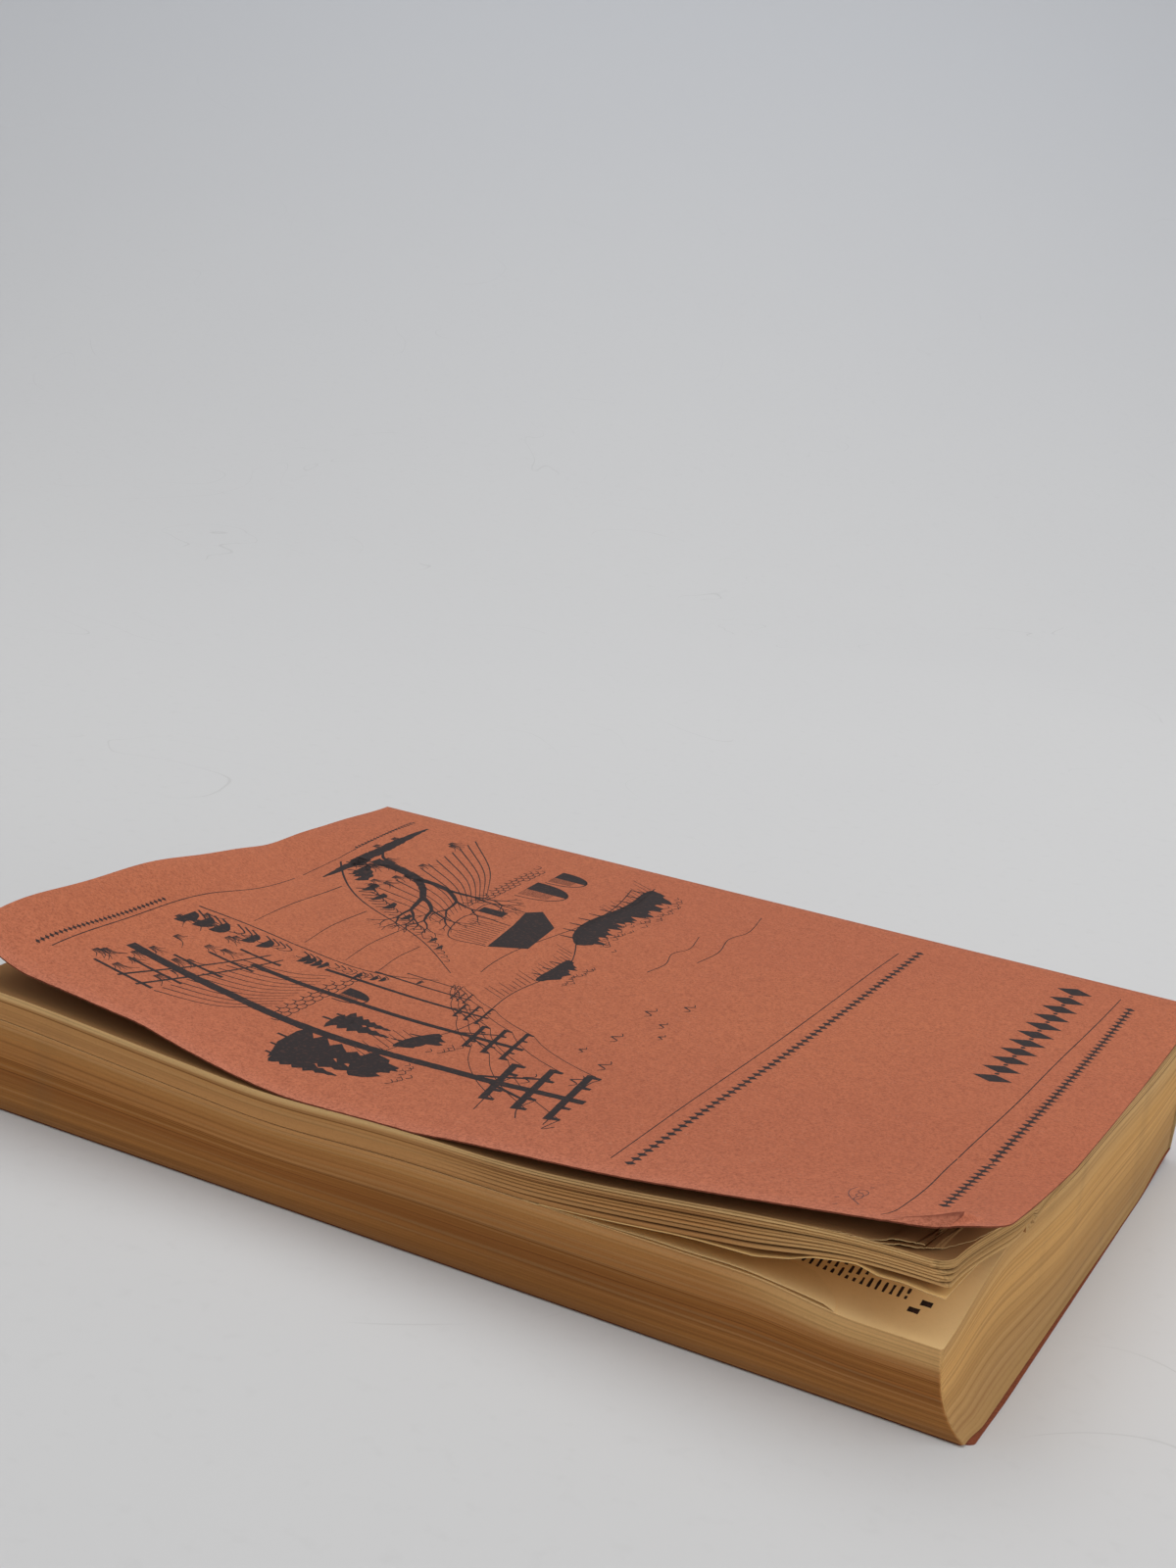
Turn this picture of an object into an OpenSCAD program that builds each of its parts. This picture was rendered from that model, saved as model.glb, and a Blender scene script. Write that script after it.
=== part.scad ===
// A thick softback directory lying on its back cover, well thumbed, with its head corner sprung open.
// +X runs along the pages towards the head, +Y from the fore edge to the spine, +Z up from the table.
// The origin is on the table, under the middle of the page.

/* [Pages] */
// Height of a page, tail to head
page_h = 297; // [250:1:330]
// Width of a page, fore edge to spine
page_w = 210; // [190:1:230]
// Thickness of the pages at the fore edge
fore_t = 31.3; // [26:0.1:40]
// Thickness of the pages at the spine
spine_t = 42.7; // [36:0.1:50]
// How far the top of the spine leans out beyond its foot
spine_lean = 9; // [0:0.5:12]
// How far the foot of the spine stands in from the page's width
spine_foot_in = 3; // [0:0.5:6]
// How far the middle of the spine bulges outwards
spine_bulge = 1.2; // [0:0.1:3]
// How far the foot of the spine is lifted off the table
spine_lift = 3; // [0:0.1:6]
// Width of the strip along the spine over which the underside lifts
spine_lift_w = 45; // [20:1:80]
// How far alternate bundles of leaves stand back at the fore edge
bundle_step = 0.5; // [0:0.1:1.5]
// How far the head corner of the pages is worn back
corner_wear = 9.5; // [0:0.5:14]
// How far the middle of the head is worn back
head_wear = 1.9; // [0:0.1:5]
// How far the head is worn back at the spine
spine_wear = 0.8; // [0:0.1:2]
// How far along the head the worn corner reaches
wear_reach = 90; // [40:1:120]
// Height over which that wear sets in above the table
wear_onset = 7; // [3:0.5:15]
// Depth of the dip worn into the fore edge
dip_d = 1.5; // [0:0.1:3]
// Place of that dip, from the head
dip_at = 200; // [180:1:230]
// Half the length of that dip
dip_len = 18; // [10:1:30]
// How far the pages rise at the tail
tail_swell = 1.2; // [0:0.1:3]
// How far from the tail that rise begins
tail_swell_len = 72; // [40:1:100]
// How far from the tail it is complete
tail_swell_full = 27; // [5:1:35]
// How far in from the fore edge the dip and the rise are felt
wave_reach = 120; // [60:5:180]

/* [Parted section] */
// Thickness of the upper section that has parted from the rest
upper_t = 8; // [5:0.1:12]
// Thickness of its thumbed corner
upper_tip_t = 5.6; // [4:0.1:8]
// Length of the thumbed corner
thumbed_len = 20; // [10:1:35]
// How far from the head the section is back to its full thickness
thumbed_end = 52; // [40:1:70]
// How far its corner is sprung up
spring_rise = 9.4; // [2:0.1:14]
// Length of the level tip of the sprung corner
tip_len = 5; // [0:1:15]
// Width of that level tip
tip_w = 10; // [0:1:25]
// How far along the fore edge the spring reaches
spring_len = 125; // [80:1:160]
// How far along the head the spring reaches
spring_reach = 200; // [120:1:205]
// How far in from the fore edge the parting is open at the head
parting_d = 42; // [20:1:60]
// How far from the head the parting stays that deep
parting_len = 15; // [0:1:40]
// Depth of the fine parting along the rest of the fore edge
groove_d = 1.5; // [0.8:0.1:4]
// Width of that fine parting
groove_w = 0.3; // [0.2:0.05:0.8]
// How far the leaves under the parting fan up at the head
fan_rise = 8.5; // [0:0.1:12]
// How far in from the fore edge the fan is at its highest
fan_at = 60; // [45:1:90]
// How far the corner under the parting is pressed down
press_d = 2.7; // [0:0.1:5]
// How far in from the fore edge that press reaches
press_reach = 120; // [60:1:160]

/* [Loose leaf] */
// Thickness of the loose leaf and what clings to it
leaf_t = 0.5; // [0.3:0.05:1]
// How far its corner droops below the upper section
leaf_droop = 3.2; // [1:0.1:5]
// How far along the fore edge it hangs free
leaf_len = 34; // [15:1:60]
// How far in from the fore edge it hangs free
leaf_reach = 22; // [10:1:35]
// How far its edges stand back from those of the section above it
leaf_short = 1; // [0:0.1:3]

/* [Cover] */
// Thickness of the cover paper
cover_t = 0.4; // [0.3:0.05:0.8]
// Thickness of the glue on the spine
glue_t = 0.6; // [0.3:0.1:1.5]
// How far the front cover's head corner is lifted over the closed pages
head_curl = 20.5; // [10:0.5:26]
// How far along the fore edge that lift reaches
head_curl_len = 150; // [100:1:170]
// How far along the head that lift reaches
head_curl_reach = 200; // [120:1:210]
// How far the front cover's tail corner is lifted
tail_curl = 19; // [6:0.5:24]
// How far along the fore edge that lift reaches
tail_curl_len = 112; // [60:1:115]
// How far along the tail that lift reaches
tail_curl_reach = 172; // [100:1:200]
// How far the front cover's tail edge turns up by itself
tail_flick = 4.5; // [0:0.5:8]
// Width of the strip along the tail that turns up
tail_flick_w = 22; // [10:1:40]
// How far along the tail it turns up in full
tail_flick_reach = 140; // [60:1:180]
// How far the front cover's fore edge droops at the tail corner
tail_droop = 4; // [0:0.5:6]
// How far from the tail that droop begins
tail_droop_len = 45; // [20:1:70]
// How far from the tail it is complete
tail_droop_full = 10; // [0:1:15]
// How far in from the fore edge the droop reaches
tail_droop_reach = 36; // [15:1:60]
// Radius worn onto the front cover's head corner
corner_r = 8; // [2:0.5:15]
// How far from the head the dog-ear begins
dog_ear_from = 3; // [0:0.5:5]
// How far from the head it is bent down most
dog_ear_tip = 8; // [6:0.5:12]
// How far from the head it ends
dog_ear_len = 27; // [15:1:45]
// Depth of the dog-ear's crease in from the fore edge
dog_ear_d = 7; // [3:0.5:12]
// How far the dog-ear is bent down
dog_ear_drop = 2.8; // [0:0.1:5]
// How far the back cover shows beyond the pages at the head corner
back_proud = 1.1; // [0:0.1:2]
// How far along the head it shows
back_proud_len = 157; // [100:1:180]
// How far the back cover stands in from the fore edge
back_inset = 0.8; // [0:0.1:3]
// Gap between the covers and the pages, and beside the folds
cover_gap = 0.3; // [0.2:0.05:0.6]

/* [Hidden] */
paper_colour = [0.72, 0.58, 0.38];
glue_colour = [0.80, 0.70, 0.48];
cover_colour = [0.72, 0.40, 0.30];

// Stations along the page from the head, across it from the fore edge, and levels up through it
along = 24;
parting_cols = 4;
across = 12;
low_levels = 9;
up_levels = 4;
cols = parting_cols + across;
// The parting has a lower and an upper lip, so it takes one more level
lip = low_levels;
top_level = low_levels + up_levels + 1;
cover_cols = 15;
lift_steps = 8;
leaf_rows = 8;
leaf_cols = 5;
// How much closer together the stations are near the head, and the cover's columns near the fore edge
bunching = 1.25;
cover_bunching = 1.2;
// Width of the cover's first column where it has no crease
edge_strip = 2;

// Powers of the curves: 1 is straight, and more keeps the bend closer to the lifted corner
head_curl_bend = 1.15;
head_curl_fade = 2.5;
tail_curl_bend = 1.4;
thumb_fade = 3;
lean_bend = 2;
fold_bend = 8;
// Share of its reach that the loose leaf has lost at its root
leaf_taper = 0.9;

// The glue and the cover on the spine reach past the pages, the cover the further of the two
glue_over = cover_gap / 4;
spine_over = cover_gap / 2;

bed_z = cover_t + cover_gap;
spine_z0 = bed_z + spine_lift;
spine_z1 = spine_z0 + spine_t;
// The folds, on the outer face of the spine, where the two covers turn
front_fold = [spine_y(1) + glue_t + cover_t, spine_z1 + cover_gap];
back_fold = [spine_y(0) + glue_t + cover_t, spine_z0 - cover_gap];

function ease(a, b, t) = let(u = min(1, max(0, (t - a) / (b - a)))) u * u * (3 - 2 * u);
function away(a, b, t) = 1 - ease(a, b, t);
function bell(middle, spread, t) = exp(-pow((t - middle) / spread, 2));
function fade(reach, bend, t) = pow(max(0, 1 - t / reach), bend);

// h is the distance from the head and v the distance from the fore edge, both on the flat page.

function bed(v) = bed_z + spine_lift * ease(page_w - spine_lift_w, page_w, v);
function closed_top(v) = bed_z + fore_t + (spine_z1 - bed_z - fore_t) * v / page_w;

// Slow waves left by handling: a dip in the fore edge and a swell at the tail.
function handling(h, v) =
    let(swell = tail_swell * ease(page_h - tail_swell_len, page_h - tail_swell_full, h))
    (swell - dip_d * bell(dip_at, dip_len, h)) * away(0, wave_reach, v);

function spring(h, v) = spring_rise * away(tip_len, spring_len, h) * away(tip_w, spring_reach, v);
function block_top(h, v) = closed_top(v) + spring(h, v) + handling(h, v);
function thumbed(h) = away(thumbed_len, thumbed_end, h);
function section_t(h) = upper_t - (upper_t - upper_tip_t) * thumbed(h);

function fan(h, v) =
    fan_rise * ease(tip_len, parting_d, v) * away(fan_at, spring_reach, v) * away(0, spring_len, h);
function press(h, v) = press_d * thumbed(h) * fade(press_reach, thumb_fade, v);
function lower_top(h, v) =
    let(closed = closed_top(v) - upper_t + handling(h, v) + fan(h, v) - press(h, v))
    min(closed, block_top(h, v) - section_t(h));

function parting_root(h) = groove_d + (parting_d - groove_d) * away(parting_len, spring_len, h);
function upper_lip(h, v) =
    let(shut = lower_top(h, v) + groove_w * (1 - v / parting_root(h)))
    max(shut, block_top(h, v) - section_t(h));

// Columns: the first few cross the parting, the rest run on to the spine.
function col_v(h, j) =
    j <= parting_cols
        ? parting_root(h) * j / parting_cols
        : let(root = parting_root(h)) root + (page_w - root) * (j - parting_cols) / across;

// Stations are closer together near the head, where the pages and the cover curl.
function station(i) = page_h * pow(i / along, bunching);

function level_z(h, v, k) =
    let(mid = lower_top(h, v), low = bed(v), high = block_top(h, v))
    k <= lip
        ? low + (mid - low) * k / low_levels
        : let(upper = v < parting_root(h) ? upper_lip(h, v) : mid)
          upper + (high - upper) * (k - lip - 1) / up_levels;

// Share of the pages' height at a level, counted up the spine.
function level_share(k) =
    let(mid = (lower_top(page_h, page_w) - spine_z0) / spine_t)
    k <= lip ? mid * k / low_levels : mid + (1 - mid) * (k - lip - 1) / up_levels;

function spine_y(s) =
    page_w / 2 - spine_foot_in + spine_lean * s + spine_bulge * sin(180 * s);
function lean(s, v) = (spine_y(s) - page_w / 2) * pow(v / page_w, lean_bend);

function worn(v) =
    head_wear + (corner_wear - head_wear) * away(0, wear_reach, v)
    + (spine_wear - head_wear) * ease(wear_reach, page_w, v);
function set_back(v, z) = worn(v) * (1 - exp(-z / wear_onset));
function bundle(j, k) = j == 0 && k != lip && k != lip + 1 && k % 2 == 1 ? bundle_step : 0;

function block_point(i, j, k) =
    let(h = station(i), v = col_v(h, j), z = level_z(h, v, k))
    [page_h / 2 - h - set_back(v, z) * (1 - i / along),
     v - page_w / 2 + lean(level_share(k), v) + bundle(j, k),
     z];

// Beyond the root of the parting its two lips are one, so they share a point.
function block_index(i, j, k) =
    let(level = j >= parting_cols && k == lip + 1 ? lip : k)
    (i * (cols + 1) + j) * (top_level + 1) + level;

function quad(a, b, c, d) = [[a, b, c], [a, c, d]];
function flat(lists) = [for (list = lists) each list];

module page_stack() {
    points = [for (i = [0:along], j = [0:cols], k = [0:top_level]) block_point(i, j, k)];
    under = [for (i = [0:along - 1], j = [0:cols - 1])
        quad(block_index(i, j, 0), block_index(i, j + 1, 0),
             block_index(i + 1, j + 1, 0), block_index(i + 1, j, 0))];
    over = [for (i = [0:along - 1], j = [0:cols - 1])
        quad(block_index(i, j, top_level), block_index(i + 1, j, top_level),
             block_index(i + 1, j + 1, top_level), block_index(i, j + 1, top_level))];
    lower_lips = [for (i = [0:along - 1], j = [0:parting_cols - 1])
        quad(block_index(i, j, lip), block_index(i + 1, j, lip),
             block_index(i + 1, j + 1, lip), block_index(i, j + 1, lip))];
    upper_lips = [for (i = [0:along - 1], j = [0:parting_cols - 1])
        quad(block_index(i, j, lip + 1), block_index(i, j + 1, lip + 1),
             block_index(i + 1, j + 1, lip + 1), block_index(i + 1, j, lip + 1))];
    fore_edge = [for (i = [0:along - 1], k = [0:top_level - 1]) if (k != lip)
        quad(block_index(i, 0, k), block_index(i + 1, 0, k),
             block_index(i + 1, 0, k + 1), block_index(i, 0, k + 1))];
    spine_side = [for (i = [0:along - 1], k = [0:top_level - 1]) if (k != lip)
        quad(block_index(i, cols, k), block_index(i, cols, k + 1),
             block_index(i + 1, cols, k + 1), block_index(i + 1, cols, k))];
    head = [for (j = [0:cols - 1], k = [0:top_level - 1]) if (k != lip)
        quad(block_index(0, j, k), block_index(0, j, k + 1),
             block_index(0, j + 1, k + 1), block_index(0, j + 1, k))];
    tail = [for (j = [0:cols - 1], k = [0:top_level - 1]) if (k != lip)
        quad(block_index(along, j, k), block_index(along, j + 1, k),
             block_index(along, j + 1, k + 1), block_index(along, j, k + 1))];
    walls = concat(under, over, lower_lips, upper_lips, fore_edge, spine_side, head, tail);
    polyhedron(points = points, faces = flat(walls));
}

// The leaf that hangs free under the sprung corner, and is bedded in the section above it elsewhere.
function leaf_point(a, b, side) =
    let(h = leaf_len * a, v = leaf_reach * b * sqrt(1 - leaf_taper * a * a))
    let(h_share = pow(h / page_h, 1 / bunching), lip_z = block_top(h, v) - section_t(h) + leaf_t / 2)
    let(z = lip_z - leaf_droop * (1 - a * a) * (1 - b * b))
    [page_h / 2 - h - (set_back(v, z) + leaf_short) * (1 - h_share),
     v - page_w / 2 + lean(level_share(top_level), v) + leaf_short * (1 - b),
     z - leaf_t * (1 - side)];

module loose_leaf() {
    function at(a, b, side) = (a * (leaf_cols + 1) + b) * 2 + side;
    points = [for (a = [0:leaf_rows], b = [0:leaf_cols], side = [0:1])
        leaf_point(a / leaf_rows, b / leaf_cols, side)];
    under = [for (a = [0:leaf_rows - 1], b = [0:leaf_cols - 1])
        quad(at(a, b, 0), at(a, b + 1, 0), at(a + 1, b + 1, 0), at(a + 1, b, 0))];
    over = [for (a = [0:leaf_rows - 1], b = [0:leaf_cols - 1])
        quad(at(a, b, 1), at(a + 1, b, 1), at(a + 1, b + 1, 1), at(a, b + 1, 1))];
    fore_edge = [for (a = [0:leaf_rows - 1])
        quad(at(a, 0, 0), at(a + 1, 0, 0), at(a + 1, 0, 1), at(a, 0, 1))];
    inner_edge = [for (a = [0:leaf_rows - 1])
        quad(at(a, leaf_cols, 0), at(a, leaf_cols, 1), at(a + 1, leaf_cols, 1), at(a + 1, leaf_cols, 0))];
    head = [for (b = [0:leaf_cols - 1])
        quad(at(0, b, 0), at(0, b, 1), at(0, b + 1, 1), at(0, b + 1, 0))];
    root = [for (b = [0:leaf_cols - 1])
        quad(at(leaf_rows, b, 0), at(leaf_rows, b + 1, 0), at(leaf_rows, b + 1, 1), at(leaf_rows, b, 1))];
    polyhedron(points = points, faces = flat(concat(under, over, fore_edge, inner_edge, head, root)));
}

module page_block() {
    color(paper_colour)
        union() {
            page_stack();
            loose_leaf();
        }
}

// A strip that follows the spine between two offsets from the pages, from head to tail.
module spine_strip(inner, outer, foot_z, top_z) {
    levels = [for (k = [0:top_level]) if (k != lip + 1) level_share(k)];
    function at(s, off) = [spine_y(s) + off, spine_z0 + spine_t * s];
    inside = [for (s = levels) at(s, inner)];
    outside = [for (n = [len(levels) - 1:-1:0]) at(levels[n], outer)];
    rotate([90, 0, 90])
        linear_extrude(height = page_h, center = true)
            polygon(concat(
                [[spine_y(0) + inner, foot_z]],
                inside,
                [[spine_y(1) + inner, top_z], [spine_y(1) + outer, top_z]],
                outside,
                [[spine_y(0) + outer, foot_z]]));
}

module spine_glue() {
    color(glue_colour) spine_strip(0, glue_t, spine_z0 - glue_over, spine_z1 + glue_over);
}

module spine_cover() {
    color(cover_colour)
        spine_strip(glue_t, glue_t + cover_t, spine_z0 - spine_over, spine_z1 + spine_over);
}

// The front cover's own lift over the closed pages, at its head corner and its tail corner.
function head_lift(h, v) =
    head_curl * fade(head_curl_len, head_curl_bend, h) * fade(head_curl_reach, head_curl_fade, v);
function tail_lift(h, v) =
    let(slant = (page_h - h) / tail_curl_len + v / tail_curl_reach)
    let(drooped = ease(page_h - tail_droop_len, page_h - tail_droop_full, h))
    tail_curl * fade(1, tail_curl_bend, slant)
    + tail_flick * ease(page_h - tail_flick_w, page_h, h) * away(tail_flick_reach, page_w, v)
    - tail_droop * drooped * fade(tail_droop_reach, thumb_fade, v);

function cover_under(h, v) =
    cover_gap + max(block_top(h, v), closed_top(v) + head_lift(h, v) + tail_lift(h, v));

function corner_cut(v) = v >= corner_r ? 0 : corner_r - sqrt(pow(corner_r, 2) - pow(corner_r - v, 2));

// The dog-ear is a strip of the fore edge, near the head, bent down along a slanting crease.
function dog_ear(h) = ease(dog_ear_from, dog_ear_tip, h) * away(dog_ear_tip, dog_ear_len, h);
function crease(h) = edge_strip + (dog_ear_d - edge_strip) * dog_ear(h);
function bent_down(h, v) = dog_ear_drop * dog_ear(h) * fade(crease(h), 1, v);

// The cover's first column is its fore edge, its second the crease, and the rest run to the fold.
function cover_v(h, j) =
    j < 2
        ? crease(h) * j
        : crease(h) + (page_w - crease(h)) * pow((j - 1) / (cover_cols - 1), cover_bunching);

function cover_point(i, j, side) =
    let(h0 = station(i), v = cover_v(h0, j) * (1 - cover_gap / page_w))
    let(h = h0 + corner_cut(v) * (1 - i / along))
    [page_h / 2 - h,
     v - page_w / 2 + lean(1, v) + (front_fold[0] - spine_y(1)) * pow(v / page_w, fold_bend),
     cover_under(h, v) - bent_down(h, v) + cover_t * side];

module front_cover() {
    function at(i, j, side) = (i * (cover_cols + 1) + j) * 2 + side;
    points = [for (i = [0:along], j = [0:cover_cols], side = [0:1]) cover_point(i, j, side)];
    under = [for (i = [0:along - 1], j = [0:cover_cols - 1])
        quad(at(i, j, 0), at(i, j + 1, 0), at(i + 1, j + 1, 0), at(i + 1, j, 0))];
    over = [for (i = [0:along - 1], j = [0:cover_cols - 1])
        quad(at(i, j, 1), at(i + 1, j, 1), at(i + 1, j + 1, 1), at(i, j + 1, 1))];
    fore_edge = [for (i = [0:along - 1])
        quad(at(i, 0, 0), at(i + 1, 0, 0), at(i + 1, 0, 1), at(i, 0, 1))];
    fold = [for (i = [0:along - 1])
        quad(at(i, cover_cols, 0), at(i, cover_cols, 1),
             at(i + 1, cover_cols, 1), at(i + 1, cover_cols, 0))];
    head = [for (j = [0:cover_cols - 1])
        quad(at(0, j, 0), at(0, j, 1), at(0, j + 1, 1), at(0, j + 1, 0))];
    tail = [for (j = [0:cover_cols - 1])
        quad(at(along, j, 0), at(along, j + 1, 0), at(along, j + 1, 1), at(along, j, 1))];
    color(cover_colour)
        polyhedron(points = points, faces = flat(concat(under, over, fore_edge, fold, head, tail)));
}

module back_cover() {
    lift_y = [for (n = [0:lift_steps]) page_w - spine_lift_w + spine_lift_w * n / lift_steps];
    reach = (back_fold[0] - cover_gap + page_w / 2) / page_w;
    function at(v, z) = [v * reach - page_w / 2, bed(v) - bed_z + z];
    color(cover_colour)
        intersection() {
            rotate([90, 0, 90])
                linear_extrude(height = page_h + 2 * back_proud, center = true)
                    polygon(concat(
                        [at(back_inset, cover_t), at(back_inset, 0)],
                        [for (v = lift_y) at(v, 0)],
                        [for (n = [lift_steps:-1:0]) at(lift_y[n], cover_t)]));
            // Trimmed a little askew, so that it shows beyond the pages at the head corner
            linear_extrude(height = spine_lift + 2 * cover_t)
                polygon([
                    [-page_h / 2, -page_w / 2],
                    [page_h / 2 + back_proud, -page_w / 2],
                    [page_h / 2, back_proud_len - page_w / 2],
                    [page_h / 2, page_w],
                    [-page_h / 2, page_w]]);
        }
}

page_block();
spine_glue();
spine_cover();
front_cover();
back_cover();
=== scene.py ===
import math

import bpy
import numpy as np
from mathutils import Matrix, Vector


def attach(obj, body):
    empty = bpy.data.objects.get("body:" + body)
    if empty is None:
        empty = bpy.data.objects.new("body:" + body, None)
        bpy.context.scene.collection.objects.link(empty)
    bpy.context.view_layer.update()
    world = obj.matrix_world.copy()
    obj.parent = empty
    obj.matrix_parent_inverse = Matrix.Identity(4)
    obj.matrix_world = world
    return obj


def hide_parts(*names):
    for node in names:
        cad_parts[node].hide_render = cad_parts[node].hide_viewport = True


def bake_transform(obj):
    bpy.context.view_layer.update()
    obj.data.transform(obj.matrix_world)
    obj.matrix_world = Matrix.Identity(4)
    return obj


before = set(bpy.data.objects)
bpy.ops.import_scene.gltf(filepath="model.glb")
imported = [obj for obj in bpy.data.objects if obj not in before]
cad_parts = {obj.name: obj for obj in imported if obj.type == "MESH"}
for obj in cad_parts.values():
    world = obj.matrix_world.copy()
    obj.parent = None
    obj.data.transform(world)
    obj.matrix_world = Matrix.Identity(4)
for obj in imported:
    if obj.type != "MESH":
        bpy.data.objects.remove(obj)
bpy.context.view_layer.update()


# The camera stands off the head corner, a little above the book, held upright and slightly askew.
# The picture is 1600 pixels high, and the focal length is given in those pixels.
PICTURE_HEIGHT_PX = 1600
FOCAL_PX = 2147.3
SENSOR_HEIGHT_MM = 36
EYE = Vector((0.2420, -0.5303, 0.2421))
YAW, PITCH, ROLL = 2.02107, 0.23330, 0.11443

ahead = Vector((math.cos(YAW) * math.cos(PITCH), math.sin(YAW) * math.cos(PITCH), -math.sin(PITCH)))
level_right = ahead.cross(Vector((0, 0, 1))).normalized()
level_up = level_right.cross(ahead)
right = math.cos(ROLL) * level_right + math.sin(ROLL) * level_up
up = math.cos(ROLL) * level_up - math.sin(ROLL) * level_right

camera_data = bpy.data.cameras.new("camera")
camera_data.sensor_fit = "VERTICAL"
camera_data.sensor_height = SENSOR_HEIGHT_MM
camera_data.lens = FOCAL_PX / PICTURE_HEIGHT_PX * SENSOR_HEIGHT_MM
camera = bpy.data.objects.new("camera", camera_data)
camera.matrix_world = Matrix.Translation(EYE) @ Matrix((right, up, -ahead)).transposed().to_4x4()
bpy.context.scene.collection.objects.link(camera)
bpy.context.scene.camera = camera
bpy.context.scene.view_settings.view_transform = "Standard"


# The table and the backdrop are one sheet of pale paper, which runs back from the book and sweeps up.
# It is made as a long profile, drawn out sideways, and turned to face the camera.
# Its floor is faintly speckled and scuffed, and its wall is a little cooler.
SWEEP_FRONT, SWEEP_BACK, SWEEP_RADIUS, SWEEP_TOP, SWEEP_HALF_WIDTH = -2.5, 1.0, 2.0, 3.4, 4.0
SWEEP_STEPS = 48
FLOOR_TO_WALL = 0.6


def paint(red, green, blue):
    """An 8-bit screen colour as the linear colour that a shader takes."""
    shares = [c / 255 for c in (red, green, blue)]
    return (*[c / 12.92 if c <= 0.04 else ((c + 0.055) / 1.055) ** 2.4 for c in shares], 1.0)


def add(tree, kind, values=None, **settings):
    """One node, with its settings, and its inputs set to values or fed from other nodes' sockets."""
    made = tree.nodes.new(kind)
    for name, value in settings.items():
        setattr(made, name, value)
    for key, value in (values or {}).items():
        if isinstance(value, bpy.types.NodeSocket):
            tree.links.new(value, made.inputs[key])
        else:
            made.inputs[key].default_value = value
    return made


def new_material(name, roughness=0.9, specular=0.2):
    """An empty material, with its tree, its shader and the place on the object to build the rest from."""
    material = bpy.data.materials.new(name)
    material.use_nodes = True
    tree = material.node_tree
    tree.nodes.clear()
    shader = add(tree, "ShaderNodeBsdfPrincipled", {"Roughness": roughness, "Specular IOR Level": specular})
    add(tree, "ShaderNodeOutputMaterial", {"Surface": shader.outputs[0]})
    return material, tree, shader, add(tree, "ShaderNodeTexCoord").outputs["Object"]


def surface(tree, shader, colour, height=None, strength=0.0, depth=0.0):
    """Gives a shader its colour and, where there is a height, its bump."""
    tree.links.new(colour, shader.inputs["Base Color"])
    if height is not None:
        bump = add(tree, "ShaderNodeBump", {"Height": height, "Strength": strength, "Distance": depth})
        tree.links.new(bump.outputs[0], shader.inputs["Normal"])


def mix_colours(tree, share, first, second):
    """The colour between two colours."""
    return add(tree, "ShaderNodeMix", {0: share, 6: first, 7: second}, data_type="RGBA").outputs[2]


def coats(tree, colour, *over):
    """A colour under thin coats of others, each given by its share and its 8-bit screen colour."""
    for share, coat in over:
        colour = mix_colours(tree, share, colour, paint(*coat))
    return colour


def spread(tree, value, low, high, to_low=0.0, to_high=1.0):
    """A value taken from one range to another, with a smooth start and end."""
    ranges = {"Value": value, "From Min": low, "From Max": high, "To Min": to_low, "To Max": to_high}
    return add(tree, "ShaderNodeMapRange", ranges, interpolation_type="SMOOTHSTEP").outputs[0]


def noise(tree, place, scale, detail=2.0, roughness=0.5, distortion=0.0):
    """A cloudy noise over a place, from 0 to 1."""
    return add(tree, "ShaderNodeTexNoise", {"Vector": place, "Scale": scale, "Detail": detail,
                                            "Roughness": roughness, "Distortion": distortion}).outputs["Fac"]


def maths(tree, operation, *values):
    """The output of one maths node."""
    return add(tree, "ShaderNodeMath", dict(enumerate(values)), operation=operation).outputs[0]


def mesh_object(name, points, faces, smooth=True):
    """A mesh object at the origin, linked to the scene."""
    mesh = bpy.data.meshes.new(name)
    mesh.from_pydata([tuple(p) for p in points], [], faces)
    mesh.polygons.foreach_set("use_smooth", [smooth] * len(faces))
    mesh.update()
    made = bpy.data.objects.new(name, mesh)
    bpy.context.scene.collection.objects.link(made)
    return made


turns = np.linspace(0, math.pi / 2, SWEEP_STEPS)
profile = [(SWEEP_FRONT, 0.0)]
profile += [(SWEEP_BACK + SWEEP_RADIUS * math.sin(t), SWEEP_RADIUS * (1 - math.cos(t))) for t in turns]
profile += [(SWEEP_BACK + SWEEP_RADIUS, SWEEP_TOP)]
facing = Vector((ahead.x, ahead.y, 0)).normalized()
sideways = Vector((facing.y, -facing.x, 0))
sweep_points = [facing * d + sideways * side * SWEEP_HALF_WIDTH + Vector((0, 0, z))
                for d, z in profile for side in (-1, 1)]
sweep_faces = [(2 * n, 2 * n + 1, 2 * n + 3, 2 * n + 2) for n in range(len(profile) - 1)]
sweep = mesh_object("backdrop", sweep_points, sweep_faces)
material, tree, shader, place = new_material("backdrop_paper", roughness=0.95, specular=0.1)
height = add(tree, "ShaderNodeSeparateXYZ", {0: place}).outputs["Z"]
up_the_wall = add(tree, "ShaderNodeMapRange", {"Value": height, "From Max": FLOOR_TO_WALL}).outputs[0]
speckle = spread(tree, noise(tree, place, 160.0, 6.0), 0.55, 0.75, 0.0, 0.05)
swirl = noise(tree, place, 5.0, 1.0, distortion=1.5)
scratch = maths(tree, "ABSOLUTE", maths(tree, "SUBTRACT", swirl, 0.5))
patches = spread(tree, noise(tree, place, 7.0, 4.0), 0.53, 0.62)
scuffs = maths(tree, "MULTIPLY", spread(tree, scratch, 0.0, 0.0022, 0.16, 0.0), patches)
surface(tree, shader, coats(tree, paint(200, 200, 201), (noise(tree, place, 2.2), (204, 204, 204)),
                            (speckle, (150, 148, 146)), (scuffs, (120, 118, 116)),
                            (up_the_wall, (203, 205, 209))))
sweep.data.materials.append(material)


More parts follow.
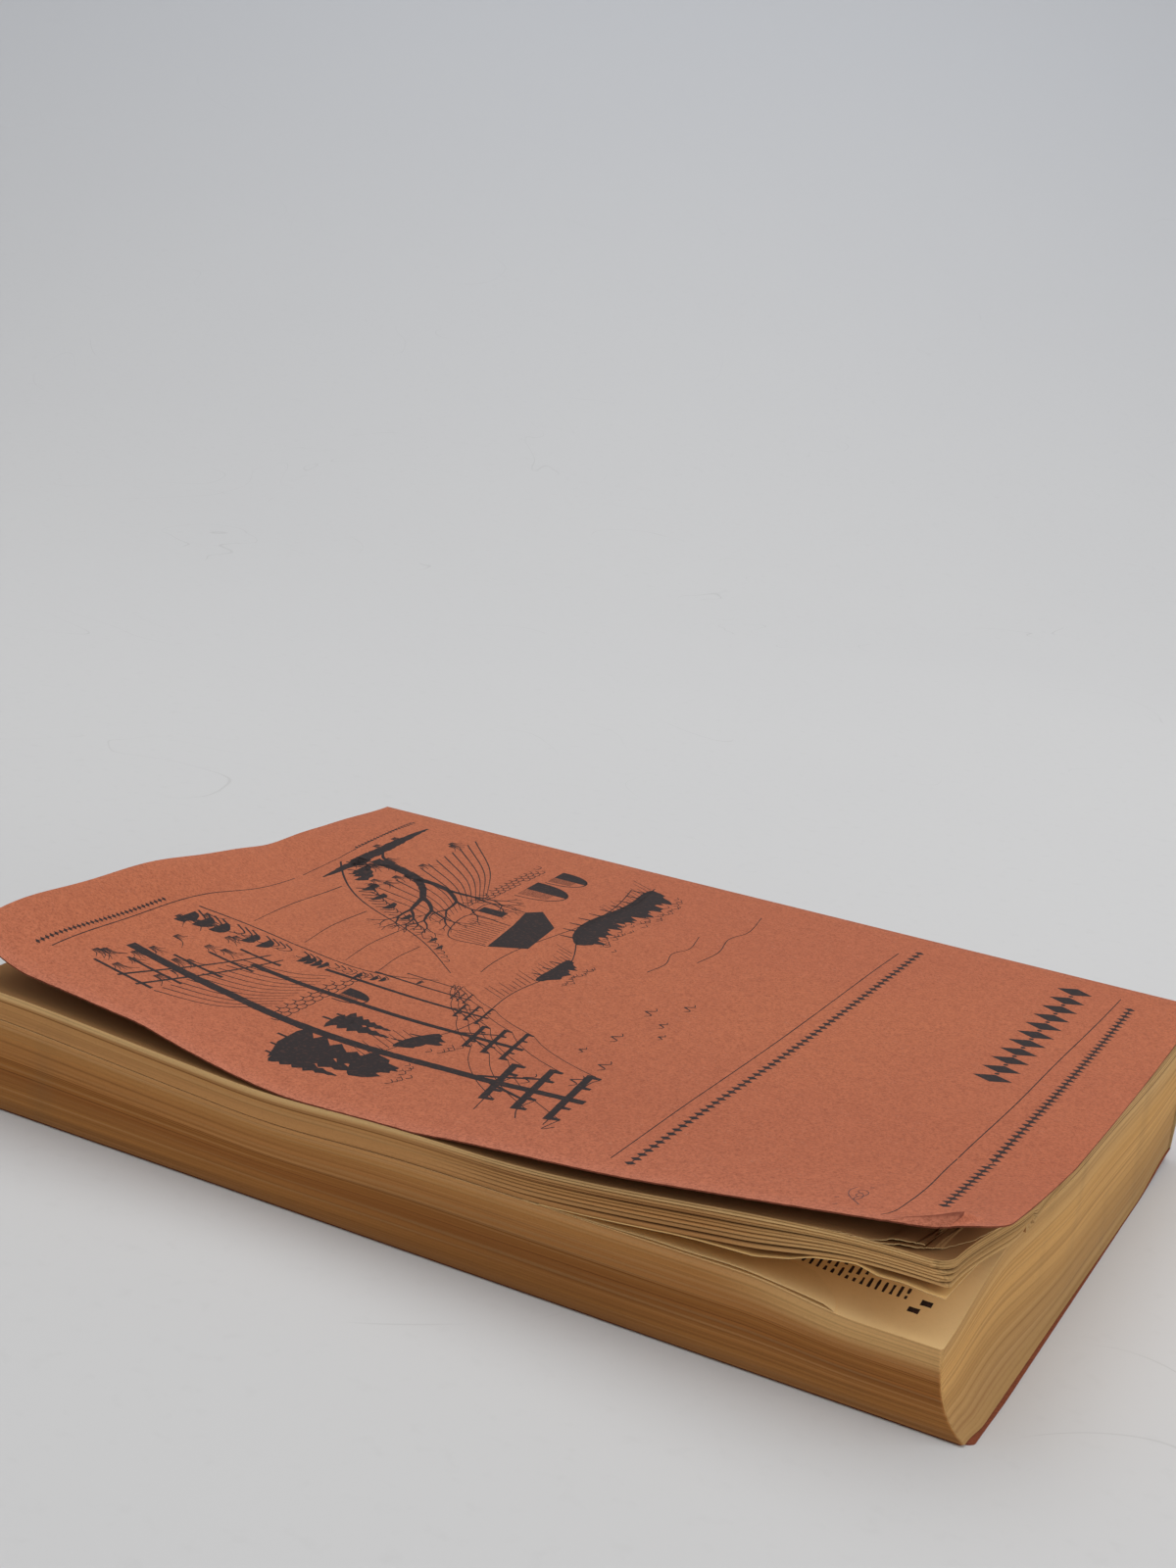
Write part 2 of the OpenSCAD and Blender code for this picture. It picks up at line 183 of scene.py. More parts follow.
# Soft studio light: a wide softbox overhead, a weaker one on the right towards the head of the book, and one
# on the wall behind it. The room is brighter above than around, and the camera sees it as a pale grey.
ROOM_BELOW, ROOM_ABOVE, ROOM_SEEN = 0.15, 0.62, 0.6


def softbox(name, place, target, width, power, colour):
    """A square area lamp at place that faces target."""
    lamp = bpy.data.lights.new(name, "AREA")
    lamp.size = width
    lamp.energy = power
    lamp.color = colour
    made = bpy.data.objects.new(name, lamp)
    made.matrix_world = (Matrix.Translation(Vector(place))
                         @ (Vector(target) - Vector(place)).to_track_quat("-Z", "Y").to_matrix().to_4x4())
    bpy.context.scene.collection.objects.link(made)


softbox("overhead", (0.15, 0.35, 1.8), (0, 0, 0), 2.4, 21.5, (1.0, 0.99, 0.97))
softbox("head_side", (1.7, -0.3, 0.9), (0, 0, 0.02), 1.2, 9, (1.0, 0.98, 0.95))
softbox("wall_side", facing * 1.7 + Vector((0, 0, 2.2)), facing * 2.7 + Vector((0, 0, 0.4)), 2.4, 13,
        (0.98, 0.99, 1.0))
world = bpy.data.worlds.new("room")
world.use_nodes = True
room = world.node_tree
room_colour = room.nodes["Background"]
look = add(room, "ShaderNodeTexCoord").outputs["Generated"]
height = add(room, "ShaderNodeSeparateXYZ", {0: look}).outputs["Z"]
glow = add(room, "ShaderNodeMapRange", {"Value": height, "To Min": ROOM_BELOW, "To Max": ROOM_ABOVE})
seen = add(room, "ShaderNodeLightPath").outputs["Is Camera Ray"]
strength = add(room, "ShaderNodeMix", {0: seen, 2: glow.outputs[0], 3: ROOM_SEEN})
room.links.new(strength.outputs[0], room_colour.inputs["Strength"])
room_colour.inputs["Color"].default_value = (0.97, 0.98, 1.0, 1.0)
bpy.context.scene.world = world


# The leaves: several hundred trimmed sheets of yellowed newsprint, milled and glued along the spine.
# Long use has opened a parting near the head corner. The leaves below it stay flat, apart from a
# pressed corner, and those above it have sprung up. Sizes are in metres.
PAGE_H, PAGE_W = 0.297, 0.210
BED = 0.0007
FORE_T, SPINE_T = 0.0313, 0.0427
SPINE_LEAN, SPINE_FOOT_IN, SPINE_BULGE = 0.009, 0.003, 0.0012
SPINE_LIFT, SPINE_LIFT_W = 0.003, 0.045
SPINE_Z0 = BED + SPINE_LIFT
SPINE_Z1 = SPINE_Z0 + SPINE_T
DIP_D, DIP_AT, DIP_LEN = 0.0018, 0.190, 0.030
SWELL_RISE, SWELL_FROM, SWELL_TO = 0.0025, 0.220, 0.292
HANDLED_W = 0.150
UPPER_T, UPPER_TIP_T = 0.008, 0.0056
THUMBED_LEN, THUMBED_END = 0.020, 0.052
SPRING_RISE, SPRING_LEN, SPRING_REACH = 0.0094, 0.125, 0.200
TIP_LEN, TIP_W = 0.005, 0.010
PARTING_D, PARTING_LEN = 0.042, 0.015
FAN_RISE, FAN_LEVEL_W = 0.0085, 0.060
PRESSED_D, PRESSED_W = 0.0027, 0.120
GROOVE_D, GROOVE_W = 0.0015, 0.0003
HAIRLINE = 0.00003
WORN_W, WORN_CORNER, WORN_HEAD, WORN_SPINE = 0.090, 0.0095, 0.0019, 0.0008
WORN_ABOVE_TABLE = 0.0065
GAP_DEPTH = 0.0014


def ease(a, b, t):
    """A smooth rise from 0 at a to 1 at b."""
    u = np.clip((t - a) / (b - a), 0, 1)
    return u * u * (3 - 2 * u)


def away(a, b, t):
    """A smooth fall from 1 at a to 0 at b."""
    return 1 - ease(a, b, t)


def fade(reach, bend, t):
    """A fall from 1 at 0 to 0 at the reach, steeper at its start with more bend."""
    return np.clip(1 - t / reach, 0, None) ** bend


# h is the distance from the head and v the distance from the fore edge, both on the flat page, and s is a
# share of the height at the spine.
def bed(v):
    return BED + SPINE_LIFT * ease(PAGE_W - SPINE_LIFT_W, PAGE_W, v)


def closed_top(v):
    return BED + FORE_T + (SPINE_Z1 - BED - FORE_T) * v / PAGE_W


def handling(h, v):
    """The dip worn into the fore edge and the slight swell at the tail."""
    dip = DIP_D * np.exp(-((h - DIP_AT) / DIP_LEN) ** 2)
    return (SWELL_RISE * ease(SWELL_FROM, SWELL_TO, h) - dip) * away(0, HANDLED_W, v)


def block_top(h, v):
    return (closed_top(v) + handling(h, v)
            + SPRING_RISE * away(TIP_LEN, SPRING_LEN, h) * away(TIP_W, SPRING_REACH, v))


def thumbed(h):
    """How much the head corner has been thinned by the thumb."""
    return away(THUMBED_LEN, THUMBED_END, h)


def section_t(h):
    """The thickness of the sprung leaves."""
    return UPPER_T - (UPPER_T - UPPER_TIP_T) * thumbed(h)


def lower_top(h, v):
    fan = FAN_RISE * ease(TIP_LEN, PARTING_D, v) * away(FAN_LEVEL_W, SPRING_REACH, v) * away(0, SPRING_LEN, h)
    pressed = PRESSED_D * thumbed(h) * fade(PRESSED_W, 3, v)
    lying = closed_top(v) - UPPER_T + handling(h, v) + fan - pressed
    return np.minimum(lying, block_top(h, v) - section_t(h))


def parting_root(h):
    """How far the parting runs in from the fore edge."""
    return GROOVE_D + (PARTING_D - GROOVE_D) * away(PARTING_LEN, SPRING_LEN, h)


def upper_under(h, v):
    root = parting_root(h)
    shut = lower_top(h, v) + HAIRLINE + GROOVE_W * np.clip(1 - v / root, 0, 1)
    return np.where(v < root, np.maximum(shut, block_top(h, v) - section_t(h)), shut)


def spine_y(s):
    return PAGE_W / 2 - SPINE_FOOT_IN + SPINE_LEAN * s + SPINE_BULGE * np.sin(math.pi * s)


def lean(s, v):
    """How far a leaf is drawn across by the slant of the spine."""
    return (spine_y(s) - PAGE_W / 2) * (v / PAGE_W) ** 2


def set_back(v, z, spared):
    """How far the head of a leaf is worn back, most at the corner and well above the table.
    Leaves that are spared, by a share, are only worn close to the corner."""
    far, near = away(0, WORN_W, v), away(0, WORN_W / 2, v)
    worn = WORN_HEAD + (WORN_CORNER - WORN_HEAD) * (far + (near - far) * spared)
    worn += (WORN_SPINE - WORN_HEAD) * ease(WORN_W, PAGE_W, v)
    return worn * (1 - np.exp(-(z - BED * ease(0.002, 0.012, v)) / WORN_ABOVE_TABLE))


STATIONS, COLUMNS = 210, 64
STATION_BUNCHING, COLUMN_BUNCHING = 1.25, 1.35
PARTING_SHARE = float((lower_top(PAGE_H, PAGE_W) - SPINE_Z0) / SPINE_T)


def toward_head(h):
    """How near a place is to the head, by the bunched stations."""
    return np.clip(1 - (h / PAGE_H) ** (1 / STATION_BUNCHING), 0, 1)


def shell(points):
    """The outside of a block of points[level, station, column], as points, their places and faces.
    The faces of the lowest and the topmost level come first."""
    number = -np.ones(points.shape[:3], int)
    outside = np.zeros(points.shape[:3], bool)
    for axis in range(3):
        edge = [slice(None)] * 3
        for end in (0, -1):
            edge[axis] = end
            outside[tuple(edge)] = True
    number[outside] = np.arange(outside.sum())
    quads = []
    for grid, flip in ((number[0], True), (number[-1], False), (number[:, 0], False),
                       (number[:, -1], True), (number[:, :, 0], True), (number[:, :, -1], False)):
        corners = [grid[:-1, :-1], grid[1:, :-1], grid[1:, 1:], grid[:-1, 1:]]
        corners = corners[:1] + corners[:0:-1] if flip else corners
        quads.append(np.stack(corners, -1).reshape(-1, 4))
    quads = np.concatenate(quads)
    kept = points[outside]
    a, b, c, d = (kept[quads[:, n]] for n in range(4))
    volume = (a * np.cross(b, c)).sum() + (a * np.cross(c, d)).sum()
    return kept, np.argwhere(outside), quads if volume > 0 else quads[:, ::-1]


def edge_ends(made):
    """The numbers of the two end points of each edge."""
    ends = np.zeros(len(made.data.edges) * 2, int)
    made.data.edges.foreach_get("vertices", ends)
    return ends.reshape(-1, 2).T


def sharpen_rims(made, places):
    """Marks the edges as sharp where the flat faces of a stack or sheet meet the trimmed ones."""
    level, station, column = places.T
    on_rim = (station == 0) | (station == station.max()) | (column == 0) | (column == column.max())
    on_rim &= (level == 0) | (level == level.max())
    one, other = edge_ends(made)
    sharp = on_rim[one] & on_rim[other] & (level[one] == level[other])
    made.data.edges.foreach_set("use_edge_sharp", sharp)


def keep_values(made, name, values):
    """Keeps a number or a vector at each point, for the trees and materials that read it by name."""
    kind, field = ("FLOAT_VECTOR", "vector") if values.ndim == 2 else ("FLOAT", "value")
    kept = made.data.attributes.new(name, kind, "POINT")
    kept.data.foreach_set(field, values.astype(np.float32).ravel())


def leaf_stack(name, low, high, share_low, share_high, shares, recess, radii, spared):
    """A stack of leaves between two surfaces, given by its levels: their share of the height, how far
    they stand back at the fore edge and at the head, and the radii of their head corners.
    Its trimmed edges keep the values that the relief and the paper read: leaf_place is the distance along
    the edge, the height in the closed book and the side, outward points away from the book, and gap_shade
    grows towards the bottom of the gaps, where the edges are painted dark as painted shade."""
    h = PAGE_H * (np.arange(STATIONS + 1) / STATIONS) ** STATION_BUNCHING
    v = PAGE_W * (np.arange(COLUMNS + 1) / COLUMNS) ** COLUMN_BUNCHING
    S, H, V = np.meshgrid(shares, h, v, indexing="ij")
    low_z, high_z = low(H[0], V[0]), high(H[0], V[0])
    Z = low_z + (high_z - low_z) * S
    radius = radii[:, None, None]
    inside = np.clip(radius - V, 0, None)
    cut = radius - np.sqrt(np.clip(radius ** 2 - inside ** 2, 0, None))
    headward = 1 - (np.arange(STATIONS + 1) / STATIONS)[None, :, None]
    at_fore = recess[:, 0, None, None] * away(0.02, 0.16, H) * fade(0.012, 2, V)
    at_head = recess[:, 1, None, None] * away(0.02, 0.10, V) * fade(0.012, 2, H)
    X = PAGE_H / 2 - H - (set_back(V, Z, spared(S, V)) + cut) * headward - at_head
    Y = V - PAGE_W / 2 + lean(share_low + (share_high - share_low) * S, V) + at_fore
    points, places, faces = shell(np.stack([X, Y, Z], -1))
    made = mesh_object(name, points, faces.tolist())
    flat = np.arange(len(faces)) < 2 * STATIONS * COLUMNS
    made.data.polygons.foreach_set("material_index", flat.astype(int))
    sharpen_rims(made, places)

    level, station, column = places.T
    height = share_low + (share_high - share_low) * shares[level]
    on_fore = column == 0
    on_head, on_tail = (station == 0) & ~on_fore, (station == STATIONS) & ~on_fore
    side_number = np.where(on_head, 1.0, np.where(on_tail, 2.0, 0.0))
    leaf_place = np.stack([np.where(on_fore, h[station], v[column]), height * FORE_T, side_number], -1)
    outward = np.stack([1.0 * on_head - on_tail + 0.7 * (on_fore & (station == 0)), -1.0 * on_fore,
                        np.zeros(len(level))], -1) * (column < COLUMNS)[:, None]
    gap_shade = np.clip(recess.min(1) / GAP_DEPTH, 0, 1)[level] * away(0.06, 0.20, h[station])
    for attribute, values in (("leaf_place", leaf_place), ("outward", outward), ("gap_shade", gap_shade)):
        keep_values(made, attribute, values)
    return made


# Each lot is a stack, from its lowest leaf to its top.
# The lower leaves lie close. Their heads meet the fore edge in a fairly sharp corner.
LOWER_LEVELS = 92
chance = np.random.default_rng(3)
shares = np.linspace(0, 1, LOWER_LEVELS + 1)
recess = 0.00001 * chance.uniform(0, 1, (LOWER_LEVELS + 1, 2))
radii = np.full(LOWER_LEVELS + 1, 0.0005)
lower_leaves = leaf_stack("lower_leaves", lambda h, v: bed(v), lower_top, 0, PARTING_SHARE,
                          shares, recess, radii, lambda s, v: 0.0)

# The sprung leaves have come apart into bundles. A thin deep gap lies between each two, the upper bundles
# stand further back at the head, and their corners are more worn.
BUNDLES, LEVELS_IN_BUNDLE = 9, 5
chance = np.random.default_rng(5)
bundle_ends = np.concatenate([[0], np.cumsum(chance.uniform(0.6, 1.4, BUNDLES))])
bundle_ends /= bundle_ends[-1]
shares, recess, radii = [], [], []
for n, (start, end) in enumerate(zip(bundle_ends[:-1], bundle_ends[1:])):
    at_fore, at_head = chance.uniform(0, 0.0005), 0.0006 * start + chance.uniform(0, 0.0008)
    corner = 0.0010 + 0.0036 * start ** 1.3 + 0.0012 * (n % 2) + chance.uniform(0, 0.0010)
    inside_bundle = start + (end - start) * np.linspace(0.20, 0.80, LEVELS_IN_BUNDLE)
    for share in ([0.0] if n == 0 else []) + list(inside_bundle) + ([1.0] if n == BUNDLES - 1 else []):
        shares.append(share)
        recess.append((at_fore + chance.uniform(0, 0.00001), at_head + chance.uniform(0, 0.00005)))
        radii.append(corner)
    if n < BUNDLES - 1:
        shares.append(end)
        recess.append((at_fore + GAP_DEPTH, at_head + GAP_DEPTH))
        radii.append(corner)
upper_leaves = leaf_stack("upper_leaves", upper_under, block_top, PARTING_SHARE, 1,
                          np.array(shares), np.array(recess), np.array(radii),
                          lambda s, v: 1 - ease(0.028, 0.055, v) * (1 - s) ** 2)


# Handling has pushed the leaves in and out by a little, one by one and in bundles.
# A geometry tree moves the trimmed edges along "outward" by two noises that run far along the edge
# and change from leaf to leaf.
def geometry_tree(name, inputs):
    """An empty geometry tree with named inputs, given as name: (socket type, value)."""
    made = bpy.data.node_groups.new(name, "GeometryNodeTree")
    made.interface.new_socket("Geometry", in_out="INPUT", socket_type="NodeSocketGeometry")
    for label, (kind, value) in inputs.items():
        socket = made.interface.new_socket(label, in_out="INPUT", socket_type=kind)
        if value is not None:
            socket.default_value = value
    made.interface.new_socket("Geometry", in_out="OUTPUT", socket_type="NodeSocketGeometry")
    return made, add(made, "NodeGroupInput").outputs


def run_tree(made, tree, values):
    """Runs a geometry tree on an object, with its inputs set by identifier, and keeps the plain mesh."""
    modifier = made.modifiers.new(tree.name, "NODES")
    modifier.node_group = tree
    identifiers = {item.name: item.identifier for item in tree.interface.items_tree if item.in_out == "INPUT"}
    for label, value in values.items():
        modifier[identifiers[label]] = value
    bpy.context.view_layer.update()
    finished = bpy.data.meshes.new_from_object(made.evaluated_get(bpy.context.evaluated_depsgraph_get()))
    made.modifiers.remove(modifier)
    made.data = finished


def vector_maths(tree, operation, *values):
    """The output of one vector maths node."""
    return add(tree, "ShaderNodeVectorMath", dict(enumerate(values)), operation=operation).outputs[0]


def streaks(tree, along, across, offset, detail):
    """A noise over a distance along the leaves and one across them, both already scaled."""
    place = add(tree, "ShaderNodeCombineXYZ", {0: along, 1: across, 2: offset}).outputs[0]
    return noise(tree, place, 1.0, detail)


def kept_vector(tree, name):
    """A vector that keep_values has left on the mesh."""
    return add(tree, "GeometryNodeInputNamedAttribute", {"Name": name}, data_type="FLOAT_VECTOR").outputs[0]


LEAF_DEPTH = 0.00008
MOSTLY_INWARD = 0.6

relief, given = geometry_tree("leaf_relief", {
    "Leaf Depth": ("NodeSocketFloat", LEAF_DEPTH), "Bundle Depth": ("NodeSocketFloat", 0.0003),
    "Leaf Step": ("NodeSocketFloat", 0.001), "Seed": ("NodeSocketFloat", 0.0)})
parts = add(relief, "ShaderNodeSeparateXYZ", {0: kept_vector(relief, "leaf_place")}).outputs
steps = maths(relief, "DIVIDE", parts["Y"], given["Leaf Step"])
offset = maths(relief, "ADD", parts["Z"], given["Seed"])
leaf_noise = streaks(relief, maths(relief, "MULTIPLY", parts["X"], 28.0),
                     maths(relief, "MULTIPLY", steps, 1.7), offset, 0.0)
bundle_noise = streaks(relief, maths(relief, "MULTIPLY", parts["X"], 9.0),
                       maths(relief, "MULTIPLY", parts["Y"], 700.0), offset, 0.5)
leaf_push = maths(relief, "MULTIPLY", maths(relief, "SUBTRACT", leaf_noise, MOSTLY_INWARD),
                  given["Leaf Depth"])
bundle_push = maths(relief, "MULTIPLY", maths(relief, "SUBTRACT", bundle_noise, MOSTLY_INWARD),
                    given["Bundle Depth"])
push = add(relief, "ShaderNodeVectorMath", {0: kept_vector(relief, "outward"),
                                            "Scale": maths(relief, "ADD", leaf_push, bundle_push)},
           operation="SCALE").outputs[0]
moved = add(relief, "GeometryNodeSetPosition", {"Geometry": given["Geometry"], "Offset": push})
add(relief, "NodeGroupOutput", {"Geometry": moved.outputs[0]})

for stack, bundle_depth, leaf_step, seed in ((lower_leaves, 0.0005, 0.0012, 2.0),
                                             (upper_leaves, 0.0003, 0.0008, 7.0)):
    run_tree(stack, relief, {"Leaf Depth": LEAF_DEPTH, "Bundle Depth": bundle_depth,
                             "Leaf Step": leaf_step, "Seed": seed})


# The newsprint: its trimmed edges are yellowed and browned in bands, with fine lines from leaf to leaf and
# thin dark lines at a few heights.
# Handling has rubbed them pale near the head corner and smeared them grey, and they are darker further along,
# low on the fore edge.
# Its pages are cream, browner towards their edges.
def shader_group(name, inputs, outputs):
    """An empty shader group with named inputs and outputs."""
    made = bpy.data.node_groups.new(name, "ShaderNodeTree")
    for label, (kind, value) in inputs.items():
        socket = made.interface.new_socket(label, in_out="INPUT", socket_type=kind)
        if value is not None:
            socket.default_value = value
    for label, kind in outputs.items():
        made.interface.new_socket(label, in_out="OUTPUT", socket_type=kind)
    return made, add(made, "NodeGroupInput").outputs


def colour_bands(tree, value, bands):
    """A colour ramp through bands, each given as its place and its 8-bit screen colour."""
    made = add(tree, "ShaderNodeValToRGB", {"Fac": value})
    ramp = made.color_ramp
    while len(ramp.elements) < len(bands):
        ramp.elements.new(0.5)
    for element, (at, colour) in zip(ramp.elements, bands):
        element.position = at
        element.color = paint(*colour)
    return made.outputs["Color"]


fibre, given = shader_group("paper_fibre", {
    "Vector": ("NodeSocketVector", None), "Size": ("NodeSocketFloat", 0.001)},
    {"Tone": "NodeSocketFloat", "Fleck": "NodeSocketFloat", "Height": "NodeSocketFloat"})
fineness = maths(fibre, "DIVIDE", 1.0, given["Size"])
felt = noise(fibre, given["Vector"], fineness, 5.0, 0.65, 0.6)
drawn_out = vector_maths(fibre, "MULTIPLY", given["Vector"], (0.35, 2.2, 1.0))
hairs = noise(fibre, drawn_out, fineness, 3.0, distortion=2.5)
tone = maths(fibre, "SUBTRACT", maths(fibre, "ADD", felt, maths(fibre, "MULTIPLY", hairs, 0.6)), 0.8)
add(fibre, "NodeGroupOutput", {"Tone": tone, "Fleck": spread(fibre, hairs, 0.63, 0.74), "Height": felt})


def fibres(tree, place, size):
    """The tone, flecks and height of paper with fibres of one size."""
    return add(tree, "ShaderNodeGroup", {"Vector": place, "Size": size}, node_tree=fibre).outputs


STREAKS = ((7, 1700, 0.4), (4, 900, 0.6), (2.5, 380, 2.0))  # scale along the leaves, across them, detail
leaf_edges, tree, shader, object_place = new_material("leaf_edges", roughness=0.88, specular=0.15)
where = add(tree, "ShaderNodeAttribute", attribute_name="leaf_place").outputs["Vector"]
along, height, side_number = add(tree, "ShaderNodeSeparateXYZ", {0: where}).outputs
side = maths(tree, "MULTIPLY", side_number, 3.7)
fine, medium, broad = (streaks(tree, maths(tree, "MULTIPLY", along, scale_along),
                               maths(tree, "MULTIPLY", height, scale_across), side, detail)
                       for scale_along, scale_across, detail in STREAKS)
share = maths(tree, "DIVIDE", height, FORE_T)
shifted = maths(tree, "ADD", share, maths(tree, "MULTIPLY", maths(tree, "SUBTRACT", broad, 0.5), 0.07))
# The colour of the thin dark lines across the fore edge, at a few heights.
EDGE_DARK_LINE = (112, 66, 30)
fore_colour = colour_bands(tree, shifted, [
    (0.00, (158, 109, 64)), (0.05, (162, 111, 64)), (0.12, (174, 118, 63)),
    (0.25, (170, 113, 60)), (0.335, (154, 97, 48)), (0.345, (164, 105, 53)),
    (0.366, (166, 107, 55)), (0.372, EDGE_DARK_LINE), (0.378, (168, 109, 55)),
    (0.458, (168, 110, 55)), (0.464, EDGE_DARK_LINE), (0.470, (170, 111, 56)),
    (0.480, (172, 113, 58)), (0.486, EDGE_DARK_LINE), (0.492, (178, 119, 64)),
    (0.510, (187, 128, 72)), (0.60, (183, 125, 70)), (0.70, (189, 132, 74)),
    (0.735, (191, 136, 79)), (0.745, (206, 150, 93)), (0.84, (204, 148, 92)),
    (0.928, (201, 147, 90)), (0.934, EDGE_DARK_LINE), (0.940, (205, 151, 95)),
    (0.955, (208, 155, 99)), (0.972, (232, 189, 130))])
head_colour = colour_bands(tree, shifted, [
    (0.00, (166, 131, 84)), (0.10, (173, 135, 88)), (0.25, (181, 139, 86)),
    (0.45, (206, 159, 98)), (0.60, (205, 157, 95)), (0.75, (200, 157, 101)),
    (1.00, (208, 168, 112))])
is_head = spread(tree, side_number, 0.1, 0.6)
rubbed_pale = maths(tree, "MULTIPLY", spread(tree, along, 0.025, 0.065, 0.62, 0.0),
                    spread(tree, share, 0.54, 0.68))
darker_stretch = maths(tree, "MULTIPLY", spread(tree, along, 0.045, 0.100),
              spread(tree, along, 0.125, 0.200, 1.0, 0.0))
darker_stretch = maths(tree, "MULTIPLY", darker_stretch, spread(tree, share, 0.45, 0.70, 0.24, 0.0))
fore_colour = coats(tree, fore_colour, (rubbed_pale, (240, 195, 131)), (darker_stretch, EDGE_DARK_LINE))
grain = maths(tree, "MULTIPLY", fibres(tree, object_place, 0.0007)["Tone"], 0.5)
smears = noise(tree, vector_maths(tree, "MULTIPLY", object_place, (1, 1, 0.25)), 45.0, 4.0)
# Painted shade: the edges darken to near black towards the bottom of the gaps between bundles.
gap_shade = add(tree, "ShaderNodeAttribute", attribute_name="gap_shade").outputs["Fac"]
colour = coats(tree, mix_colours(tree, is_head, fore_colour, head_colour),
               (spread(tree, fine, 0.48, 0.66, 0.0, 0.24), (112, 70, 34)),
               (spread(tree, medium, 0.54, 0.68, 0.0, 0.14), (218, 182, 128)),
               (spread(tree, medium, 0.30, 0.44, 0.16, 0.0), (120, 76, 38)),
               (grain, (112, 74, 40)),
               (spread(tree, smears, 0.52, 0.75, 0.0, 0.20), (126, 104, 74)),
               (spread(tree, gap_shade, 0.25, 0.9, 0.0, 0.85), (60, 34, 17)))
leaf_height = maths(tree, "ADD", fine, maths(tree, "MULTIPLY", medium, 1.5))
surface(tree, shader, colour, leaf_height, 0.4, 0.00010)


def page_paper(name, middle_colour, edge_colour):
    """The newsprint of a page, turning from the middle colour to the edge colour within 30 mm of the fore
    edge and the head.
    """
    material, tree, shader, object_place = new_material(name, roughness=0.9, specular=0.12)
    paper = fibres(tree, object_place, 0.0012)
    parts = add(tree, "ShaderNodeSeparateXYZ", {0: object_place}).outputs
    from_edge = maths(tree, "MINIMUM", maths(tree, "ADD", parts["Y"], PAGE_W / 2),
                      maths(tree, "SUBTRACT", PAGE_H / 2, parts["X"]))
    edge_share = spread(tree, from_edge, 0.0, 0.030, 0.65, 0.0)
    tone = maths(tree, "MULTIPLY", paper["Tone"], 0.25)
    colour = coats(tree, paint(*middle_colour), (edge_share, edge_colour), (tone, (160, 116, 68)))
    surface(tree, shader, colour, paper["Height"], 0.25, 0.0001)
    return material


# The lower pages are cream, browner towards their edges. The first page is painted dark, lighter towards its
# fore edge and head, as painted shade under the cover that lies close over it.
page_faces = page_paper("page_faces", (240, 208, 152), (236, 198, 140))
shaded_first_page = page_paper("shaded_first_page", (164, 120, 77), (184, 140, 92))

for stack, pages in ((lower_leaves, page_faces), (upper_leaves, shaded_first_page)):
    stack.data.materials.append(leaf_edges)
    stack.data.materials.append(pages)
    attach(stack, "book")
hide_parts("page_block")


# Loose leaves of the same paper: the lowest of the sprung ones hangs into the parting, golden where it
# catches the light, a leaf below it has lifted its edge, and two torn ones lie on top.
LEAF_T = 0.00012
HANGING_FROM, HANGING_LEN, HANGING_W = 0.0012, 0.106, 0.024
LIFTED_FROM, LIFTED_TO, LIFTED_W, LIFTED_RISE = 0.0275, 0.112, 0.011, 0.0007
TORN_ROOT_H, TORN_W = 0.012, 0.060


def sheet_mesh(name, inner, outer):
    """A closed sheet between an inner and an outer grid of points, and the places of its points.
    Its cut edges get the second material."""
    points, places, faces = shell(np.stack([inner, outer]))
    made = mesh_object(name, points, faces.tolist())
    flat_faces = 2 * (inner.shape[0] - 1) * (inner.shape[1] - 1)
    made.data.polygons.foreach_set("material_index", (np.arange(len(faces)) >= flat_faces).astype(int))
    sharpen_rims(made, places)
    made.data.update()
    return made, places


def leaf_piece(name, h, v, z, paper, spared=1.0):
    """Makes one thin leaf over a grid of h and v, with its underside at z."""
    x = PAGE_H / 2 - h - set_back(v, z, spared) * toward_head(h)
    low = np.stack([x, v - PAGE_W / 2 + lean(0.7, v), z], -1)
    made, _ = sheet_mesh(name, low, low + np.array([0, 0, LEAF_T]))
    made.data.materials.append(paper)
    made.data.materials.append(page_faces)
    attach(made, "book")


def leaf_paper(name, colour):
    """The newsprint of one loose leaf."""
    material, tree, shader, object_place = new_material(name, roughness=0.85, specular=0.12)
    paper = fibres(tree, object_place, 0.0012)
    tone = maths(tree, "MULTIPLY", paper["Tone"], 0.3)
    surface(tree, shader, coats(tree, paint(*colour), (tone, (170, 120, 66))), paper["Height"], 0.2, 0.0001)
    return material


# The hanging leaf, by the height of its fore edge along the parting.
HANGING_H = (0.0, 0.006, 0.012, 0.018, 0.024, 0.0315, 0.040, 0.049, 0.064, 0.084, 0.110)
HANGING_Z = (0.0333, 0.0335, 0.0340, 0.0337, 0.0350, 0.0343, 0.0310, 0.0289, 0.0283, 0.0268, 0.0250)
golden_paper = leaf_paper("golden_leaf_paper", (240, 196, 128))
u, w = np.meshgrid(np.linspace(0, 1, 70) ** 1.2, np.linspace(0, 1, 16), indexing="ij")
h = HANGING_FROM + HANGING_LEN * u
v = w * np.minimum(HANGING_W, 0.7 * parting_root(h))
under = block_top(h, v) - section_t(h)
edge = np.interp(h, HANGING_H, HANGING_Z)
z = edge + (under - edge) * ease(0.0, 0.022, v)
z = np.clip(z, lower_top(h, v) + 0.0002, under - 0.00025)
leaf_piece("hanging_leaf", h, v, z, golden_paper)

# The lifted leaf under it.
cream_paper = leaf_paper("cream_leaf_paper", (232, 198, 142))
u, w = np.meshgrid(np.linspace(0, 1, 60), np.linspace(0, 1, 10), indexing="ij")
h = LIFTED_FROM + 0.010 * w ** 2 * (1 - u) + (LIFTED_TO - LIFTED_FROM) * u
v = 0.0003 + LIFTED_W * w
lift = LIFTED_RISE * ease(0.0, 0.03, u) * away(0.35, 1.0, u) * fade(1, 2, w) * (1 + 0.15 * np.sin(24 * u))
leaf_piece("lifted_leaf", h, v, lower_top(h, v) + 0.00004 + lift, cream_paper, 0.0)

